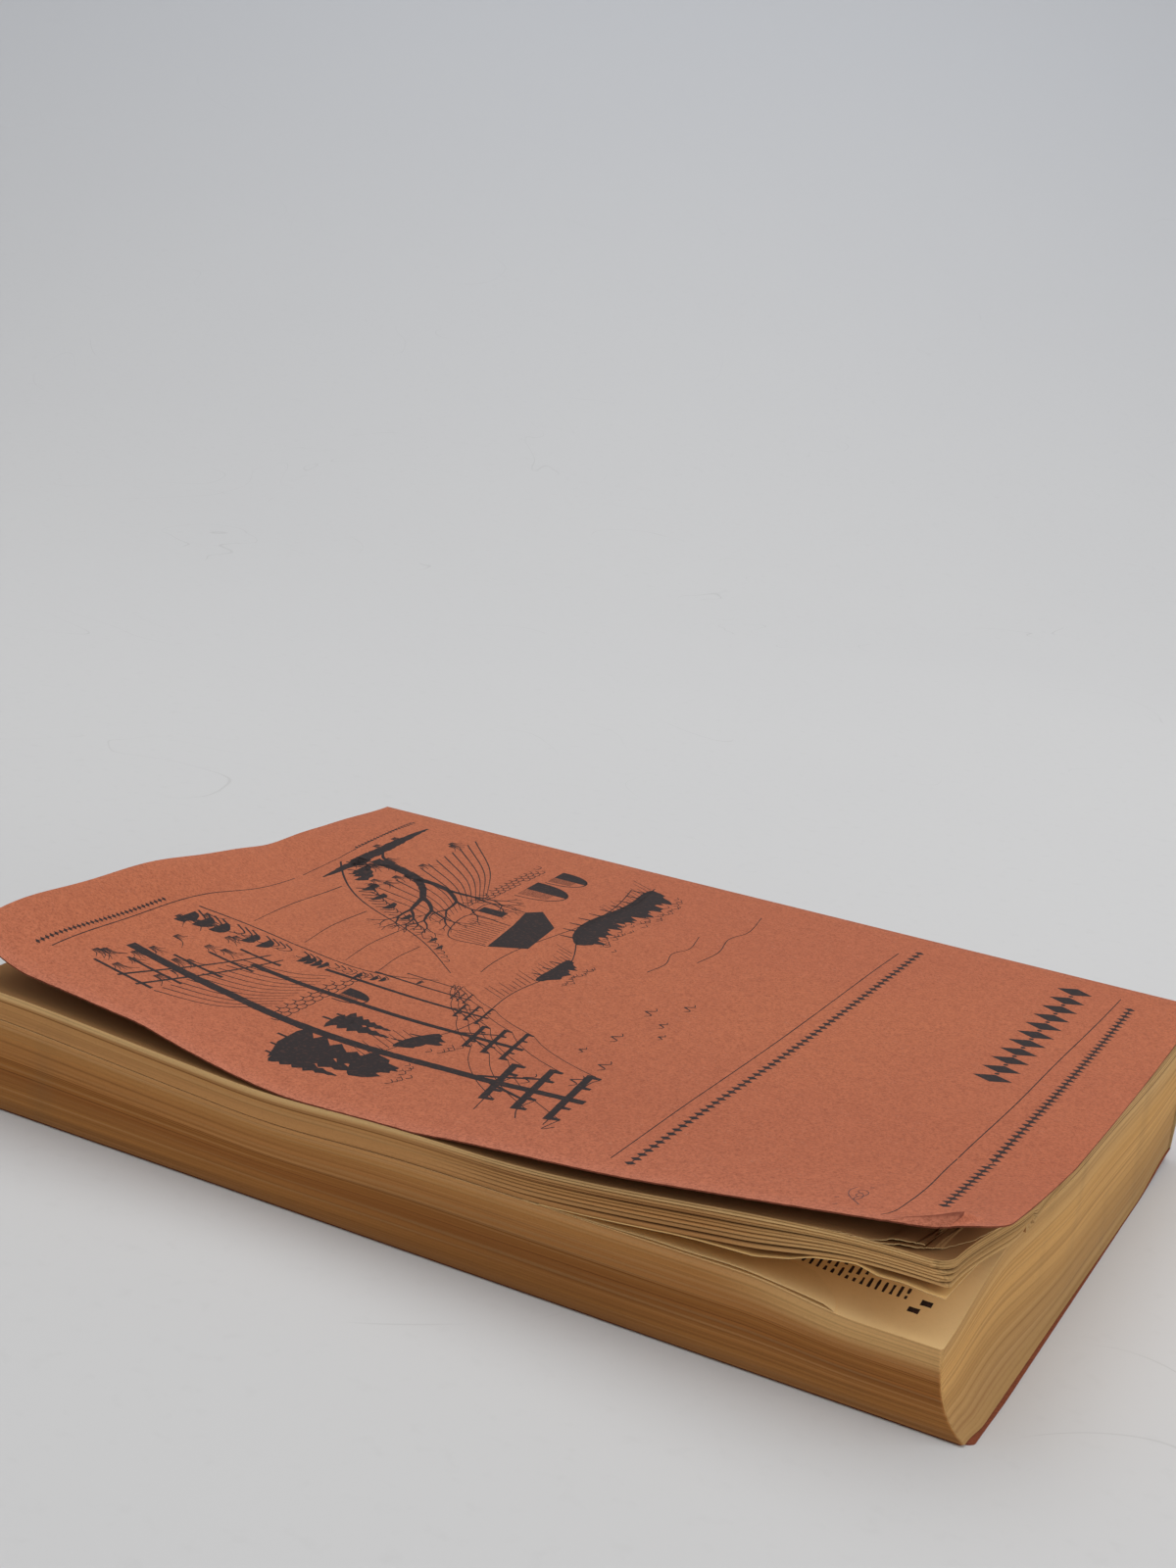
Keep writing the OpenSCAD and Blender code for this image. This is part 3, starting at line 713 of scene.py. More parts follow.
# The torn leaves on top, by their ragged outlines in millimetres, from the fore edge round to the head.
# Only their loose corners are made: further in they sink into the first page and are one with it.
TORN_LEAVES = {
    "torn_leaf_under": (((60, 0.6), (30, 0.5), (18, 0.4), (10, 1.0), (7, 3), (5.5, 5.5), (2, 14), (1, 34)),
                        0.0010),
    "torn_leaf_over": (((60, 0.9), (32, 0.8), (20, 0.6), (12, 0.9), (8.5, 1.8), (10, 4), (12, 12), (12, 34)),
                       0.0018),
}
for name, (outline, lift) in TORN_LEAVES.items():
    outline = np.array(outline) / 1000
    run = np.linspace(0, 1, 80)
    edge = np.stack([np.interp(run, np.linspace(0, 1, len(outline)), outline[:, n]) for n in (0, 1)], -1)
    edge += np.random.default_rng(8).normal(0, 0.00012, edge.shape)
    w = np.linspace(0, 1, 22)[None] ** 1.5
    h = edge[:, :1] + (np.maximum(edge[:, :1], TORN_ROOT_H) - edge[:, :1]) * w
    v = edge[:, 1:] + (TORN_W - edge[:, 1:]) * w
    curl = lift * ease(0.25, 0.40, run)[:, None] * away(0.55, 0.8, run)[:, None] * fade(0.22, 1.5, w)
    risen = ease(0, 0.2, run)[:, None] * away(0.8, 1.0, run)[:, None] * away(0.6, 1.0, w)
    leaf_piece(name, h, v, block_top(h, v) - 0.00014 + (0.0002 + lift * 0.15) * risen + curl, shaded_first_page)


# The spine glue is a thin cold layer, brushed on the milled leaves before the cover was drawn on.
# It only shows as a dull line at the head and the tail.
material, tree, shader, object_place = new_material("dried_glue", roughness=0.6, specular=0.3)
clots = noise(tree, object_place, 260.0, 3.0)
surface(tree, shader, coats(tree, paint(206, 184, 136), (clots, (156, 124, 78))), clots, 0.4, 0.0002)
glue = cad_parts["spine_glue"]
glue.data.materials.clear()
glue.data.materials.append(material)


# The cover is one sheet of uncoated terracotta paper, drawn on over the glue and creased at both folds.
# It is made as two sheets: each runs round its fold, so that it turns there. They meet near the foot of the
# spine, so that its face is unbroken.
COVER_T, GLUE_T, COVER_GAP = 0.0004, 0.0006, 0.0003
HEAD_CURL, HEAD_CURL_LEN, HEAD_CURL_BEND = 0.0205, 0.150, 1.15
HEAD_CURL_REACH, HEAD_CURL_SIDE_BEND = 0.200, 2.5
TAIL_CURL, TAIL_CURL_BEND, TAIL_CURL_LEN, TAIL_CURL_REACH = 0.0198, 1.6, 0.112, 0.172
CORNER_RADIUS = 0.0095
HEAD_SHORT, HEAD_SHORT_W = 0.0007, 0.110
EDGE_SAG = 0.0017
TAIL_FLICK, TAIL_DROOP = 0.0045, 0.0080
TAIL_WAVES = ((0.0024, 0.078, 0.026), (0.0009, 0.095, 0.050), (-0.0016, 0.141, 0.014), (0.0008, 0.187, 0.018))
DOG_EAR_FROM, DOG_EAR_TIP, DOG_EAR_LEN = 0.0060, 0.0082, 0.026
DOG_EAR_D, DOG_EAR_RISE, DOG_EAR_FOOT = 0.0040, 0.0026, 0.008
EDGE_STRIP = 0.0006
BACK_PROUD, BACK_PROUD_LEN, BACK_INSET = 0.0011, 0.157, 0.0008
BACK_CORNER_WORN, BACK_CORNER_W = 0.0022, 0.007
FRONT_FOLD = (float(spine_y(1)) + GLUE_T + COVER_T, SPINE_Z1 + COVER_GAP)
BACK_FOLD = (float(spine_y(0)) + GLUE_T + COVER_T, SPINE_Z0 - COVER_GAP)


def tail_lift(h, v):
    """How far the cover curls up at its tail. Its end ripples: each wave has a size, a place and a width."""
    slant = (PAGE_H - h) / TAIL_CURL_LEN + v / TAIL_CURL_REACH
    flick = TAIL_FLICK * ease(PAGE_H - 0.022, PAGE_H, h) * away(0.140, PAGE_W, v)
    droop = TAIL_DROOP * fade(0.062, 1.3, PAGE_H - h) * fade(0.045, 3, v)
    wave = sum(size * np.exp(-((v - at) / width) ** 2) for size, at, width in TAIL_WAVES)
    return TAIL_CURL * fade(1, TAIL_CURL_BEND, slant) + flick - droop + wave * ease(PAGE_H - 0.060, PAGE_H, h)


def cover_under(h, v):
    """The height of the cover's underside, on the pages or curled clear of them."""
    head_lift = (HEAD_CURL * fade(HEAD_CURL_LEN, HEAD_CURL_BEND, h)
                 * fade(HEAD_CURL_REACH, HEAD_CURL_SIDE_BEND, v))
    sag = EDGE_SAG * ease(0.006, 0.018, h) * away(0.085, 0.140, h) * fade(0.060, 1.5, v)
    lifted = closed_top(v) + np.minimum(handling(h, v), 0) + head_lift + tail_lift(h, v) - sag
    return COVER_GAP + np.maximum(block_top(h, v), lifted)


def dog_ear(h):
    """How much of the dog-ear there is: it grows slowly from the tail side and ends abruptly."""
    return ease(DOG_EAR_FROM, DOG_EAR_TIP, h) * away(DOG_EAR_TIP, DOG_EAR_LEN, h)


def crease(h):
    """How far in from the fore edge the dog-ear's crease runs."""
    return EDGE_STRIP + (DOG_EAR_D - EDGE_STRIP) * dog_ear(h)


def corner_cut(v, radius):
    """How far a rounded corner stands back."""
    inside = np.clip(radius - v, 0, None)
    return radius - np.sqrt(radius ** 2 - inside ** 2)


def cover_place(h, v, rise=0.0):
    """The place on the front cover at h and v, as far above the paper's underside as rise says."""
    shorter = (corner_cut(v, CORNER_RADIUS) + HEAD_SHORT * away(0.030, HEAD_SHORT_W, v)) * toward_head(h)
    ragged = 0.00005 * (np.sin(1900 * h) + np.sin(4300 * h + 1) + np.sin(790 * h + 2)) * fade(0.003, 1, v)
    y = v - PAGE_W / 2 + lean(1, v) + (FRONT_FOLD[0] - float(spine_y(1))) * (v / PAGE_W) ** 8 + ragged
    fold = crease(h)
    ridge = DOG_EAR_RISE * dog_ear(h) * np.where(v < fold, v / fold, fade(DOG_EAR_FOOT, 1.6, v - fold))
    return np.stack([PAGE_H / 2 - h - shorter, y, cover_under(h + shorter, v) + ridge + rise], -1)


COVER_ROWS, COVER_COLUMNS = 230, 84
FRONT_SPINE_ROWS, BACK_SPINE_ROWS, SEAM = 27, 3, 0.02
h_rows = PAGE_H * (np.arange(COVER_ROWS + 1) / COVER_ROWS) ** STATION_BUNCHING
strip = np.linspace(0, 1, 4)[:-1]
inner_columns = np.concatenate([[0, 0.0012], np.linspace(0, 1, COVER_COLUMNS - 3)[1:] ** 1.15])


def cover_columns(h):
    """The columns at one station: three across the edge strip, two close together on its crease, and on
    to the fold."""
    bend = crease(h)
    return np.concatenate([bend * strip, bend + (PAGE_W - COVER_GAP - bend) * inner_columns])


def spine_part(shares, x_rows):
    """The part of a sheet on the spine, at shares of its height: its inner and its outer points."""
    z = SPINE_Z0 + SPINE_T * shares
    return [np.stack(np.broadcast_arrays(x_rows[:, None], spine_y(shares) + out, z), -1)
            for out in (GLUE_T, GLUE_T + COVER_T)]


V = np.stack([cover_columns(h) for h in h_rows])
H = np.repeat(h_rows[:, None], V.shape[1], 1)
spine_inner, spine_outer = spine_part(np.linspace(1, SEAM, FRONT_SPINE_ROWS), PAGE_H / 2 - h_rows)
inner = np.concatenate([cover_place(H, V), spine_inner], 1)
outer = np.concatenate([cover_place(H, V, COVER_T), spine_outer], 1)
front_sheet, places = sheet_mesh("front_sheet", inner, outer)

# Its fore edge is rubbed pale. The crease of its dog-ear is sharp, and it and the facet under the fold are
# painted dark, as painted shade.
_, station, column = places.T
last_column = V.shape[1] - 1
on_v = V[station, np.minimum(column, last_column)]
keep_values(front_sheet, "rubbed", 0.5 * fade(0.006, 1, on_v) * (column <= last_column))
in_ear = dog_ear(h_rows[station])
on_ridge = (column == len(strip)) * ease(0.05, 0.35, in_ear)
in_facet = (column == len(strip) - 1) * 0.45 + (column == len(strip) - 2) * 0.2
keep_values(front_sheet, "crease_shade", np.maximum(on_ridge, in_facet * in_ear))
one, other = edge_ends(front_sheet)
sharp = np.zeros(len(one), bool)
front_sheet.data.edges.foreach_get("use_edge_sharp", sharp)
sharp |= (on_ridge[one] > 0) & (on_ridge[other] > 0)
front_sheet.data.edges.foreach_set("use_edge_sharp", sharp)
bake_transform(front_sheet)
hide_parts("front_cover", "spine_cover")

# The back sheet lies flat on the table and rises to its fold. Its head stands a hair proud of the leaves.
v_rows = np.concatenate([np.linspace(BACK_INSET, BACK_CORNER_W, 9)[:-1],
                         np.linspace(BACK_CORNER_W, PAGE_W - SPINE_LIFT_W, 30)[:-1],
                         np.linspace(PAGE_W - SPINE_LIFT_W, PAGE_W, 14)])
reach = (BACK_FOLD[0] - COVER_GAP + PAGE_W / 2) / PAGE_W
corner_share = 0.55 * ease(0.0015, 0.004, v_rows) + 0.45 * ease(0.004, 0.030, v_rows)
head_x = (PAGE_H / 2 + BACK_PROUD * np.clip(1 - v_rows / BACK_PROUD_LEN, 0, 1) * corner_share
          - BACK_CORNER_WORN * away(0.0008, 0.003, v_rows))
t_rows = np.linspace(0, 1, 90)
back_x = head_x + (-PAGE_H / 2 - head_x) * t_rows[:, None]
lower = np.stack(np.broadcast_arrays(back_x, v_rows * reach - PAGE_W / 2, bed(v_rows) - BED), -1)
upper = lower + np.array([0, 0, COVER_T])
spine_inner, spine_outer = spine_part(np.linspace(0, SEAM, BACK_SPINE_ROWS), PAGE_H / 2 - PAGE_H * t_rows)
back_sheet, _ = sheet_mesh("back_sheet", np.concatenate([lower, spine_outer], 1),
                           np.concatenate([upper, spine_inner], 1))
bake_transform(back_sheet)
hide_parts("back_cover")

cover_paper, tree, shader, object_place = new_material("cover_paper", roughness=0.82, specular=0.22)
paper = fibres(tree, object_place, 0.0008)
from_fore = maths(tree, "ADD", add(tree, "ShaderNodeSeparateXYZ", {0: object_place}).outputs["Y"], PAGE_W / 2)
drift = spread(tree, noise(tree, object_place, 9.0, 3.0), 0.35, 0.65)
blotches = spread(tree, noise(tree, object_place, 280.0, 3.0), 0.42, 0.66, 0.0, 0.16)
rubbed = add(tree, "ShaderNodeAttribute", attribute_name="rubbed").outputs["Fac"]
# The crease of the dog-ear and the facet under its fold are darkened as painted shade.
crease_shade = add(tree, "ShaderNodeAttribute", attribute_name="crease_shade").outputs["Fac"]
# Within 40 mm of the fore edge the cover is painted lighter and pinker, as painted light.
colour = coats(tree, paint(187, 109, 75), (drift, (183, 105, 74)),
               (spread(tree, from_fore, 0.0, 0.040, 0.5, 0.0), (194, 116, 86)),
               (blotches, (150, 80, 56)),
               (maths(tree, "MULTIPLY", rubbed, 0.7), (206, 132, 108)),
               (spread(tree, paper["Tone"], -0.15, 0.25, 0.0, 0.85), (138, 74, 52)),
               (maths(tree, "MULTIPLY", paper["Fleck"], 0.65), (222, 158, 128)),
               (spread(tree, crease_shade, 0.0, 1.0, 0.0, 0.75), (110, 52, 38)))
surface(tree, shader, colour, paper["Height"], 0.35, 0.00012)

# The cut edges of the cover are painted dark, as painted shade on their thin faces, with paler frays.
cut_edge, tree, shader, object_place = new_material("cover_cut_edge", roughness=0.9, specular=0.1)
frays = noise(tree, object_place, 900.0)
surface(tree, shader, coats(tree, paint(88, 42, 30), (frays, (160, 92, 68))))

# The inside of the cover is painted dark, as painted shade where it lies close over the pages and under the
# leaves.
# It is the front sheet's first layer of faces and the back sheet's second.
shaded_cover_inside, tree, shader, object_place = new_material("shaded_cover_inside", roughness=0.88, specular=0.15)
dark_fibres = spread(tree, fibres(tree, object_place, 0.0008)["Tone"], -0.15, 0.25, 0.0, 0.7)
surface(tree, shader, coats(tree, paint(138, 76, 52), (dark_fibres, (100, 52, 36))))
front_faces = (inner.shape[0] - 1) * (inner.shape[1] - 1)
back_faces = (len(t_rows) - 1) * (len(v_rows) + BACK_SPINE_ROWS - 1)
for piece, first, count in ((front_sheet, 0, front_faces), (back_sheet, back_faces, back_faces)):
    for paper in (cover_paper, cut_edge, shaded_cover_inside):
        piece.data.materials.append(paper)
    slots = np.zeros(len(piece.data.polygons), int)
    piece.data.polygons.foreach_get("material_index", slots)
    slots[first:first + count] = 2
    piece.data.polygons.foreach_set("material_index", slots)


# The printed drawing: an open country with a lane, telegraph poles, woods, a barn and a bare tree.
# It is black pen work, made flat like a printing plate and then laid on the cover as a film of ink.
# On the plate a is the distance from the spine and b the distance from the head, both in millimetres.
INK_RISE, INK_SUNK = 0.00002, 0.0001
PLATE_MARGIN_MM = 8
RIBBON_STEP_MM = 2.5
LANE_END_MM, LANE_LEN_MM = 196, 80
plate = []
chance = np.random.default_rng(21)


def smooth_line(points, spacing=1.5):
    """Points along a smooth curve through the given ones."""
    p = np.array(points, float)
    p = np.vstack([2 * p[0] - p[1], p, 2 * p[-1] - p[-2]])
    parts = []
    for before, start, end, after in zip(p[:-3], p[1:-2], p[2:-1], p[3:]):
        steps = max(1, int(np.ceil(np.linalg.norm(end - start) / spacing)))
        t = (np.arange(steps) / steps)[:, None]
        parts.append(start + 0.5 * t * (end - before + t * (2 * before - 5 * start + 4 * end - after
                                                            + t * (3 * start - before - 3 * end + after))))
    return np.vstack(parts + [p[-2:-1]])


def stroke(points, width, end_width=None, wobble=0.10):
    """A pen stroke through points, from one width to another, with a slightly unsteady edge."""
    line = smooth_line(points)
    run = np.gradient(line, axis=0)
    side = np.stack([-run[:, 1], run[:, 0]], -1) / np.maximum(np.linalg.norm(run, axis=1), 1e-6)[:, None]
    half = np.linspace(width, width if end_width is None else end_width, len(line)) / 2
    half = (half * (1 + chance.uniform(-wobble, wobble, len(line))))[:, None]
    plate.append((line + side * half, line - side * half))


def solid(upper, lower):
    """A solid black area between two outlines with as many points."""
    plate.append((np.array(upper, float), np.array(lower, float)))


def bumps(a, height, lump):
    """An outline of leafy bumps, as heights at a."""
    return height * (0.55 + 0.25 * np.abs(np.sin(a / lump + 1.3)) + 0.2 * np.abs(np.sin(a / lump * 2.7))
                     + chance.uniform(-0.08, 0.08, len(a)))


def hill(a):
    return 176 + 5 * np.sin(a / 24) + 2.5 * np.sin(a / 9 + 1)


def down_lane(b):
    """How far down the lane a place is, from 0 at its far end."""
    return (b - LANE_END_MM) / LANE_LEN_MM


def lane_left(b):
    u = down_lane(b)
    return 116 - 14 * math.sin(4.2 * u) * (1 - u) - 58 * u ** 1.6


def lane_right(b):
    u = down_lane(b)
    return 119 + 12 * math.sin(4.2 * u + 0.3) * (1 - u) + 14 * u ** 1.3


# Sky: a flock of birds, and two long thin clouds.
for n in range(9):
    a, b, w = 96 + 9 * n + chance.uniform(-3, 3), 128 + 7 * math.sin(n * 1.7) + n, chance.uniform(2.2, 4.2)
    stroke([(a - w, b - 0.5 * w), (a - 0.5 * w, b - 0.75 * w), (a, b)], 0.25, 0.6)
    stroke([(a, b), (a + 0.5 * w, b - 0.8 * w), (a + w, b - 0.4 * w)], 0.6, 0.25)
for a, b, w in ((40, 140, 24), (62, 149, 18)):
    stroke([(a - w, b), (a - 0.4 * w, b - 2), (a, b + 0.5), (a + 0.5 * w, b - 1.6), (a + w, b)], 0.25, 0.35)

# Far hills, with hatched slopes.
across = np.arange(14, 190, 6.0)
stroke([(a, hill(a)) for a in across], 0.45, 0.3)
stroke([(a, 186 + 4 * math.sin(a / 17 + 2)) for a in np.arange(20, 112, 6.0)], 0.4, 0.3)
for a in np.arange(16, 186, 2.1):
    if math.sin(a / 13) > -0.2:
        reach = chance.uniform(3, 9)
        stroke([(a, hill(a) + 0.8), (a - 0.5 * reach, hill(a) + 0.8 + reach)], 0.28, 0.18)

# Woods: solid black on the ridges and behind the barn.
for start, end, base, height, lump in ((16, 74, 0, 12, 2.4), (154, 168, 1, 10, 2.4), (174, 190, 1, 14, 3.0),
                                       (86, 106, 1, 7, 1.6)):
    a = np.linspace(start, end, int(end - start) + 1)
    taper = np.sqrt(np.clip(np.minimum(a - start, end - a) / 6, 0, 1))
    foot = hill(a) + base + 2 * taper
    solid(np.stack([a, foot - bumps(a, height, lump) * taper - 0.1], -1), np.stack([a, foot], -1))
    for tree_a in np.arange(start + 4, end - 3, 5.5):
        stroke([(tree_a, hill(tree_a) + 1), (tree_a + 0.5, hill(tree_a) + 6)], 1.0, 0.4)
    for leaf_a in np.arange(start + 2, end - 2, 1.3):
        b, w = hill(leaf_a) - height * chance.uniform(0.75, 1.15), chance.uniform(0.8, 1.6)
        stroke([(leaf_a - w, b + 0.5 * w), (leaf_a, b - 0.4 * w), (leaf_a + w, b + 0.5 * w)], 0.25, 0.35)

# Conifers on the right: stepped solid spires.
for a, b, tall in ((160, 203, 15), (164, 205, 19), (181, 208, 36), (187, 206, 27), (192, 204, 20)):
    rows = np.linspace(0, 1, 19)
    wide = tall * 0.20 * rows * (1 + 0.35 * (np.arange(19) % 3 - 1)) + 0.3
    solid(np.stack([a - wide, b - tall * (1 - rows)], -1),
          np.stack([a + wide * chance.uniform(0.8, 1.1, 19), b - tall * (1 - rows)], -1))
    stroke([(a, b), (a, b + 3)], 0.9)

# The barn: a black roof, a hatched wall, a door and its yard.
solid([(56, 199), (66, 189), (86, 187)], [(60, 203), (72, 200.5), (92, 198)])
stroke([(60, 203), (60.5, 216), (73, 216)], 0.4)
stroke([(73, 201), (73, 216), (92, 212), (92, 198.5)], 0.4)
solid([(64, 207), (64, 216)], [(68.5, 207), (68.5, 216)])
for a in np.arange(75, 92, 1.6):
    stroke([(a, 201.5 - (a - 73) * 0.12), (a, 214.5 - (a - 73) * 0.2)], 0.25)

# Fields on both sides: ploughed furrows that run to the far end of the lane, dry stone walls and haystacks.
for n in range(17):
    far, near = 30 + 2.2 * n, 12 + 4.9 * n
    if near < lane_left(250) - 4:
        stroke([(far + 26, 220), (0.5 * (far + near) + 12, 233), (near, 252)], 0.2, 0.55)
for n in range(12):
    stroke([(140 + 2.6 * n, 222), (146 + 3.3 * n, 232), (150 + 3.6 * n, 247)], 0.2, 0.5)
for start, base, size in ((132, 214, 3.6), (20, 217, 3.0)):
    for row in range(3):
        for n in range(int(46 / size)):
            a, b = start + size * (n + 0.5 * (row % 2)), base + 0.55 * size * row + 0.04 * size * n
            if a < 192 and chance.uniform() < 0.85:
                stroke([(a, b + 0.5 * size), (a + 0.1 * size, b), (a + 0.85 * size, b),
                        (a + size, b + 0.5 * size)], 0.25, 0.45)
for a, b, tall in ((26, 212, 12), (41, 214, 15), (148, 213, 9)):
    t = np.linspace(0, math.pi, 15)
    dome = np.stack([a - 0.5 * tall * np.cos(t), b - tall * np.sin(t) ** 0.8], -1)
    stroke(dome, 0.5)
    shaded = t < 1.7
    solid(dome[shaded], np.stack([dome[shaded][:, 0], np.full(shaded.sum(), b)], -1))
    for n in range(6):
        stroke([(a + (0.05 + 0.06 * n) * tall, b), (a + (0.04 + 0.05 * n) * tall, b - 0.7 * tall)], 0.3, 0.2)

# The lane between its hedges.
down = np.arange(LANE_END_MM, 277, 4.0)
stroke([(lane_left(b), b) for b in down], 0.3, 0.7)
stroke([(lane_right(b), b) for b in down], 0.3, 0.7)
for b in np.arange(200, 276, 2.4):
    u = down_lane(b)
    for edge, way in ((lane_left, -1), (lane_right, 1)):
        a, size = edge(b) + way * (0.8 + 2.2 * u), 0.9 + 3.4 * u
        if chance.uniform() < 0.72:
            stroke([(a, b), (a + way * 0.8 * size, b - 1.3 * size), (a + way * 1.7 * size, b - 0.5 * size),
                    (a + way * 1.5 * size, b + 0.1)], 0.3 + 0.5 * u, 0.3)
        if chance.uniform() < 0.45:
            t = np.linspace(0, math.pi, 9)
            bush_a = a + way * 1.6 * size - 1.2 * size * np.cos(t)
            bush_b = b - size * np.sin(t) * chance.uniform(0.7, 1.1, 9) - 0.05
            solid(np.stack([bush_a, bush_b], -1), np.stack([bush_a, np.full(9, b)], -1))
for b in (214, 226, 243, 262):
    u = down_lane(b)
    stroke([(lane_left(b) + 3, b), (0.5 * (lane_left(b) + lane_right(b)), b + 1.5 * u + 0.4),
            (lane_right(b) - 4 * u - 1, b - 0.5)], 0.25 + 0.3 * u, 0.2)

# Telegraph poles that recede along the lane, their wires sagging from arm to arm.
poles = [(172, 270, 150), (150, 243, 92), (137, 226, 56), (129, 214, 33), (124, 206, 19)]
arms = []
for a, foot, tall in poles:
    thick = tall * 0.021
    stroke([(a, foot), (a + 0.01 * tall, foot - tall)], thick * 1.25, thick * 0.8, 0.05)
    ends = []
    for n in range(3):
        b, reach = foot - tall * (0.965 - 0.07 * n), tall * (0.105 - 0.012 * n)
        stroke([(a - reach, b + 0.012 * tall), (a + reach, b - 0.012 * tall)], thick * 0.7, None, 0.05)
        for side in (-0.92, -0.45, 0.45, 0.92):
            x, y = a + side * reach, b - side * 0.012 * tall
            stroke([(x, y), (x, y - 0.022 * tall)], thick * 0.62, thick * 0.4, 0.0)
            ends.append((x, y - 0.022 * tall))
    for side in (-1, 1):
        stroke([(a + side * 0.05 * tall, foot - 0.90 * tall), (a, foot - 0.78 * tall)], thick * 0.35)
    arms.append(ends)
for near, far, (_, _, tall) in zip(arms[:-1], arms[1:], poles):
    for k, ((a0, b0), (a1, b1)) in enumerate(zip(near, far)):
        if k % 4 in (0, 3):
            sag = 0.02 * tall
            stroke([(a0, b0), (0.67 * a0 + 0.33 * a1, 0.67 * b0 + 0.33 * b1 + sag),
                    (0.33 * a0 + 0.67 * a1, 0.33 * b0 + 0.67 * b1 + sag), (a1, b1)], 0.30, 0.2, 0.0)
for a0, b0 in arms[0][::3]:
    stroke([(a0, b0), (a0 + 7, b0 + 1.4), (191, b0 - 1)], 0.34, 0.34, 0.0)

# A large bare tree on the left, by splitting branches.
def branch(a, b, heading, length, width, left):
    """One branch and those that it splits into."""
    bend = chance.uniform(-0.25, 0.25)
    middle = (a + 0.5 * length * math.cos(heading), b - 0.5 * length * math.sin(heading))
    tip = (max(PLATE_MARGIN_MM, middle[0] + 0.5 * length * math.cos(heading + bend)),
           middle[1] - 0.5 * length * math.sin(heading + bend))
    middle = (max(PLATE_MARGIN_MM, middle[0]), middle[1])
    stroke([(a, b), middle, tip], width, width * 0.68, 0.12)
    if left:
        for way in (-1, 1):
            branch(*tip, heading + bend + way * chance.uniform(0.25, 0.58),
                   length * chance.uniform(0.62, 0.80), width * 0.62, left - 1)


chance = np.random.default_rng(34)
branch(50, 268, 1.42, 22, 5.0, 6)
for lean_way in (-1, 1):
    stroke([(50 + lean_way * 1.5, 261), (50 + lean_way * 4, 267), (50 + lean_way * 10, 271)], 2.0, 0.4)

# Foreground: the tree's shadow, tufts of grass, and a fence on the right.
a = np.linspace(12, 74, 40)
solid(np.stack([a, 271.5 - 1.6 * np.sin((a - 12) / 62 * math.pi) - chance.uniform(0, 0.7, 40)], -1),
      np.stack([a, 272 + 2.6 * np.sin((a - 12) / 62 * math.pi) * chance.uniform(0.6, 1, 40)], -1))
for n in range(64):
    a, b = chance.uniform(14, 188), chance.uniform(252, 277)
    if lane_left(b) - 3 < a < lane_right(b) + 2:
        continue
    for blade in np.linspace(-0.9, 0.9, 5):
        tall = chance.uniform(2.5, 6.5)
        stroke([(a + 1.2 * blade, b), (a + 1.6 * blade, b - 0.6 * tall),
                (a + 1.6 * blade + 0.6 * tall * blade, b - tall)], 0.5, 0.15)
for a in (144, 154, 165, 179, 189):
    stroke([(a, 236 + (a - 140) * 0.25), (a + 0.4, 250 + (a - 140) * 0.38)], 1.3, 1.1)
for offset in (3, 7.5):
    stroke([(140, 236 + offset), (160, 240.5 + offset * 1.2), (191, 248 + offset * 1.45)], 0.6, 0.9)


def lay_on_cover(points, rise):
    """Plate points in metres, as places on the cover."""
    return cover_place(points[..., 1], PAGE_W - points[..., 0], COVER_T + rise)


def ink_from_plate(name, ink, lay=lay_on_cover):
    """All that is on the plate, as a thin closed film of ink on the paper. The plate is left clean."""
    all_points, all_faces, count = [], [], 0
    for left, right in plate:
        widest = np.linalg.norm(left - right, axis=1).max()
        across = np.linspace(0, 1, max(2, int(np.ceil(widest / RIBBON_STEP_MM)) + 1))[None, :, None]
        flat = (left[:, None] + (right - left)[:, None] * across) / 1000
        points, _, faces = shell(np.stack([lay(flat, -INK_SUNK), lay(flat, INK_RISE)]))
        all_points.append(points)
        all_faces.append(faces + count)
        count += len(points)
    plate.clear()
    made = mesh_object(name, np.concatenate(all_points), np.concatenate(all_faces).tolist(), smooth=False)
    made.data.materials.append(ink)
    return made


printing_ink, tree, shader, object_place = new_material("printing_ink", roughness=0.7, specular=0.25)
starved = spread(tree, noise(tree, object_place, 900.0, 3.0), 0.5, 0.75, 0.0, 0.35)
surface(tree, shader, coats(tree, paint(38, 28, 28), (starved, (96, 58, 46))))
drawing = ink_from_plate("cover_drawing", printing_ink)
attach(drawing, "front")


# The print around the drawing: three hairline rules, with rows of printer's ornaments beside them.
# A geometry tree sets each row of ornaments, flat on the plate, and the rows are laid on the cover.
RULES_MM = (
    ((9.5, 22.5), (67.5, 24.5), (114.5, 25.0), (157.5, 26.0), (183, 25.5), (206.5, 26.5)),
    ((17, 92), (45, 93.5), (132, 96.5), (201, 98.5)),
    ((10, 280), (69, 278), (96, 277), (124, 280), (162, 280.5), (194.5, 279.5)),
)
ROWS_MM = (  # start, end, count, half width, half height
    ((16, 18), (192, 18), 58, 1.15, 1.7),
    ((13, 86.5), (201.5, 93), 62, 1.15, 1.6),
    ((13, 36), (96, 36), 11, 3.0, 5.6),
    ((142, 282.5), (197, 282.5), 30, 0.7, 0.9),
    ((10, 279), (44, 279.5), 20, 0.6, 0.8),
)

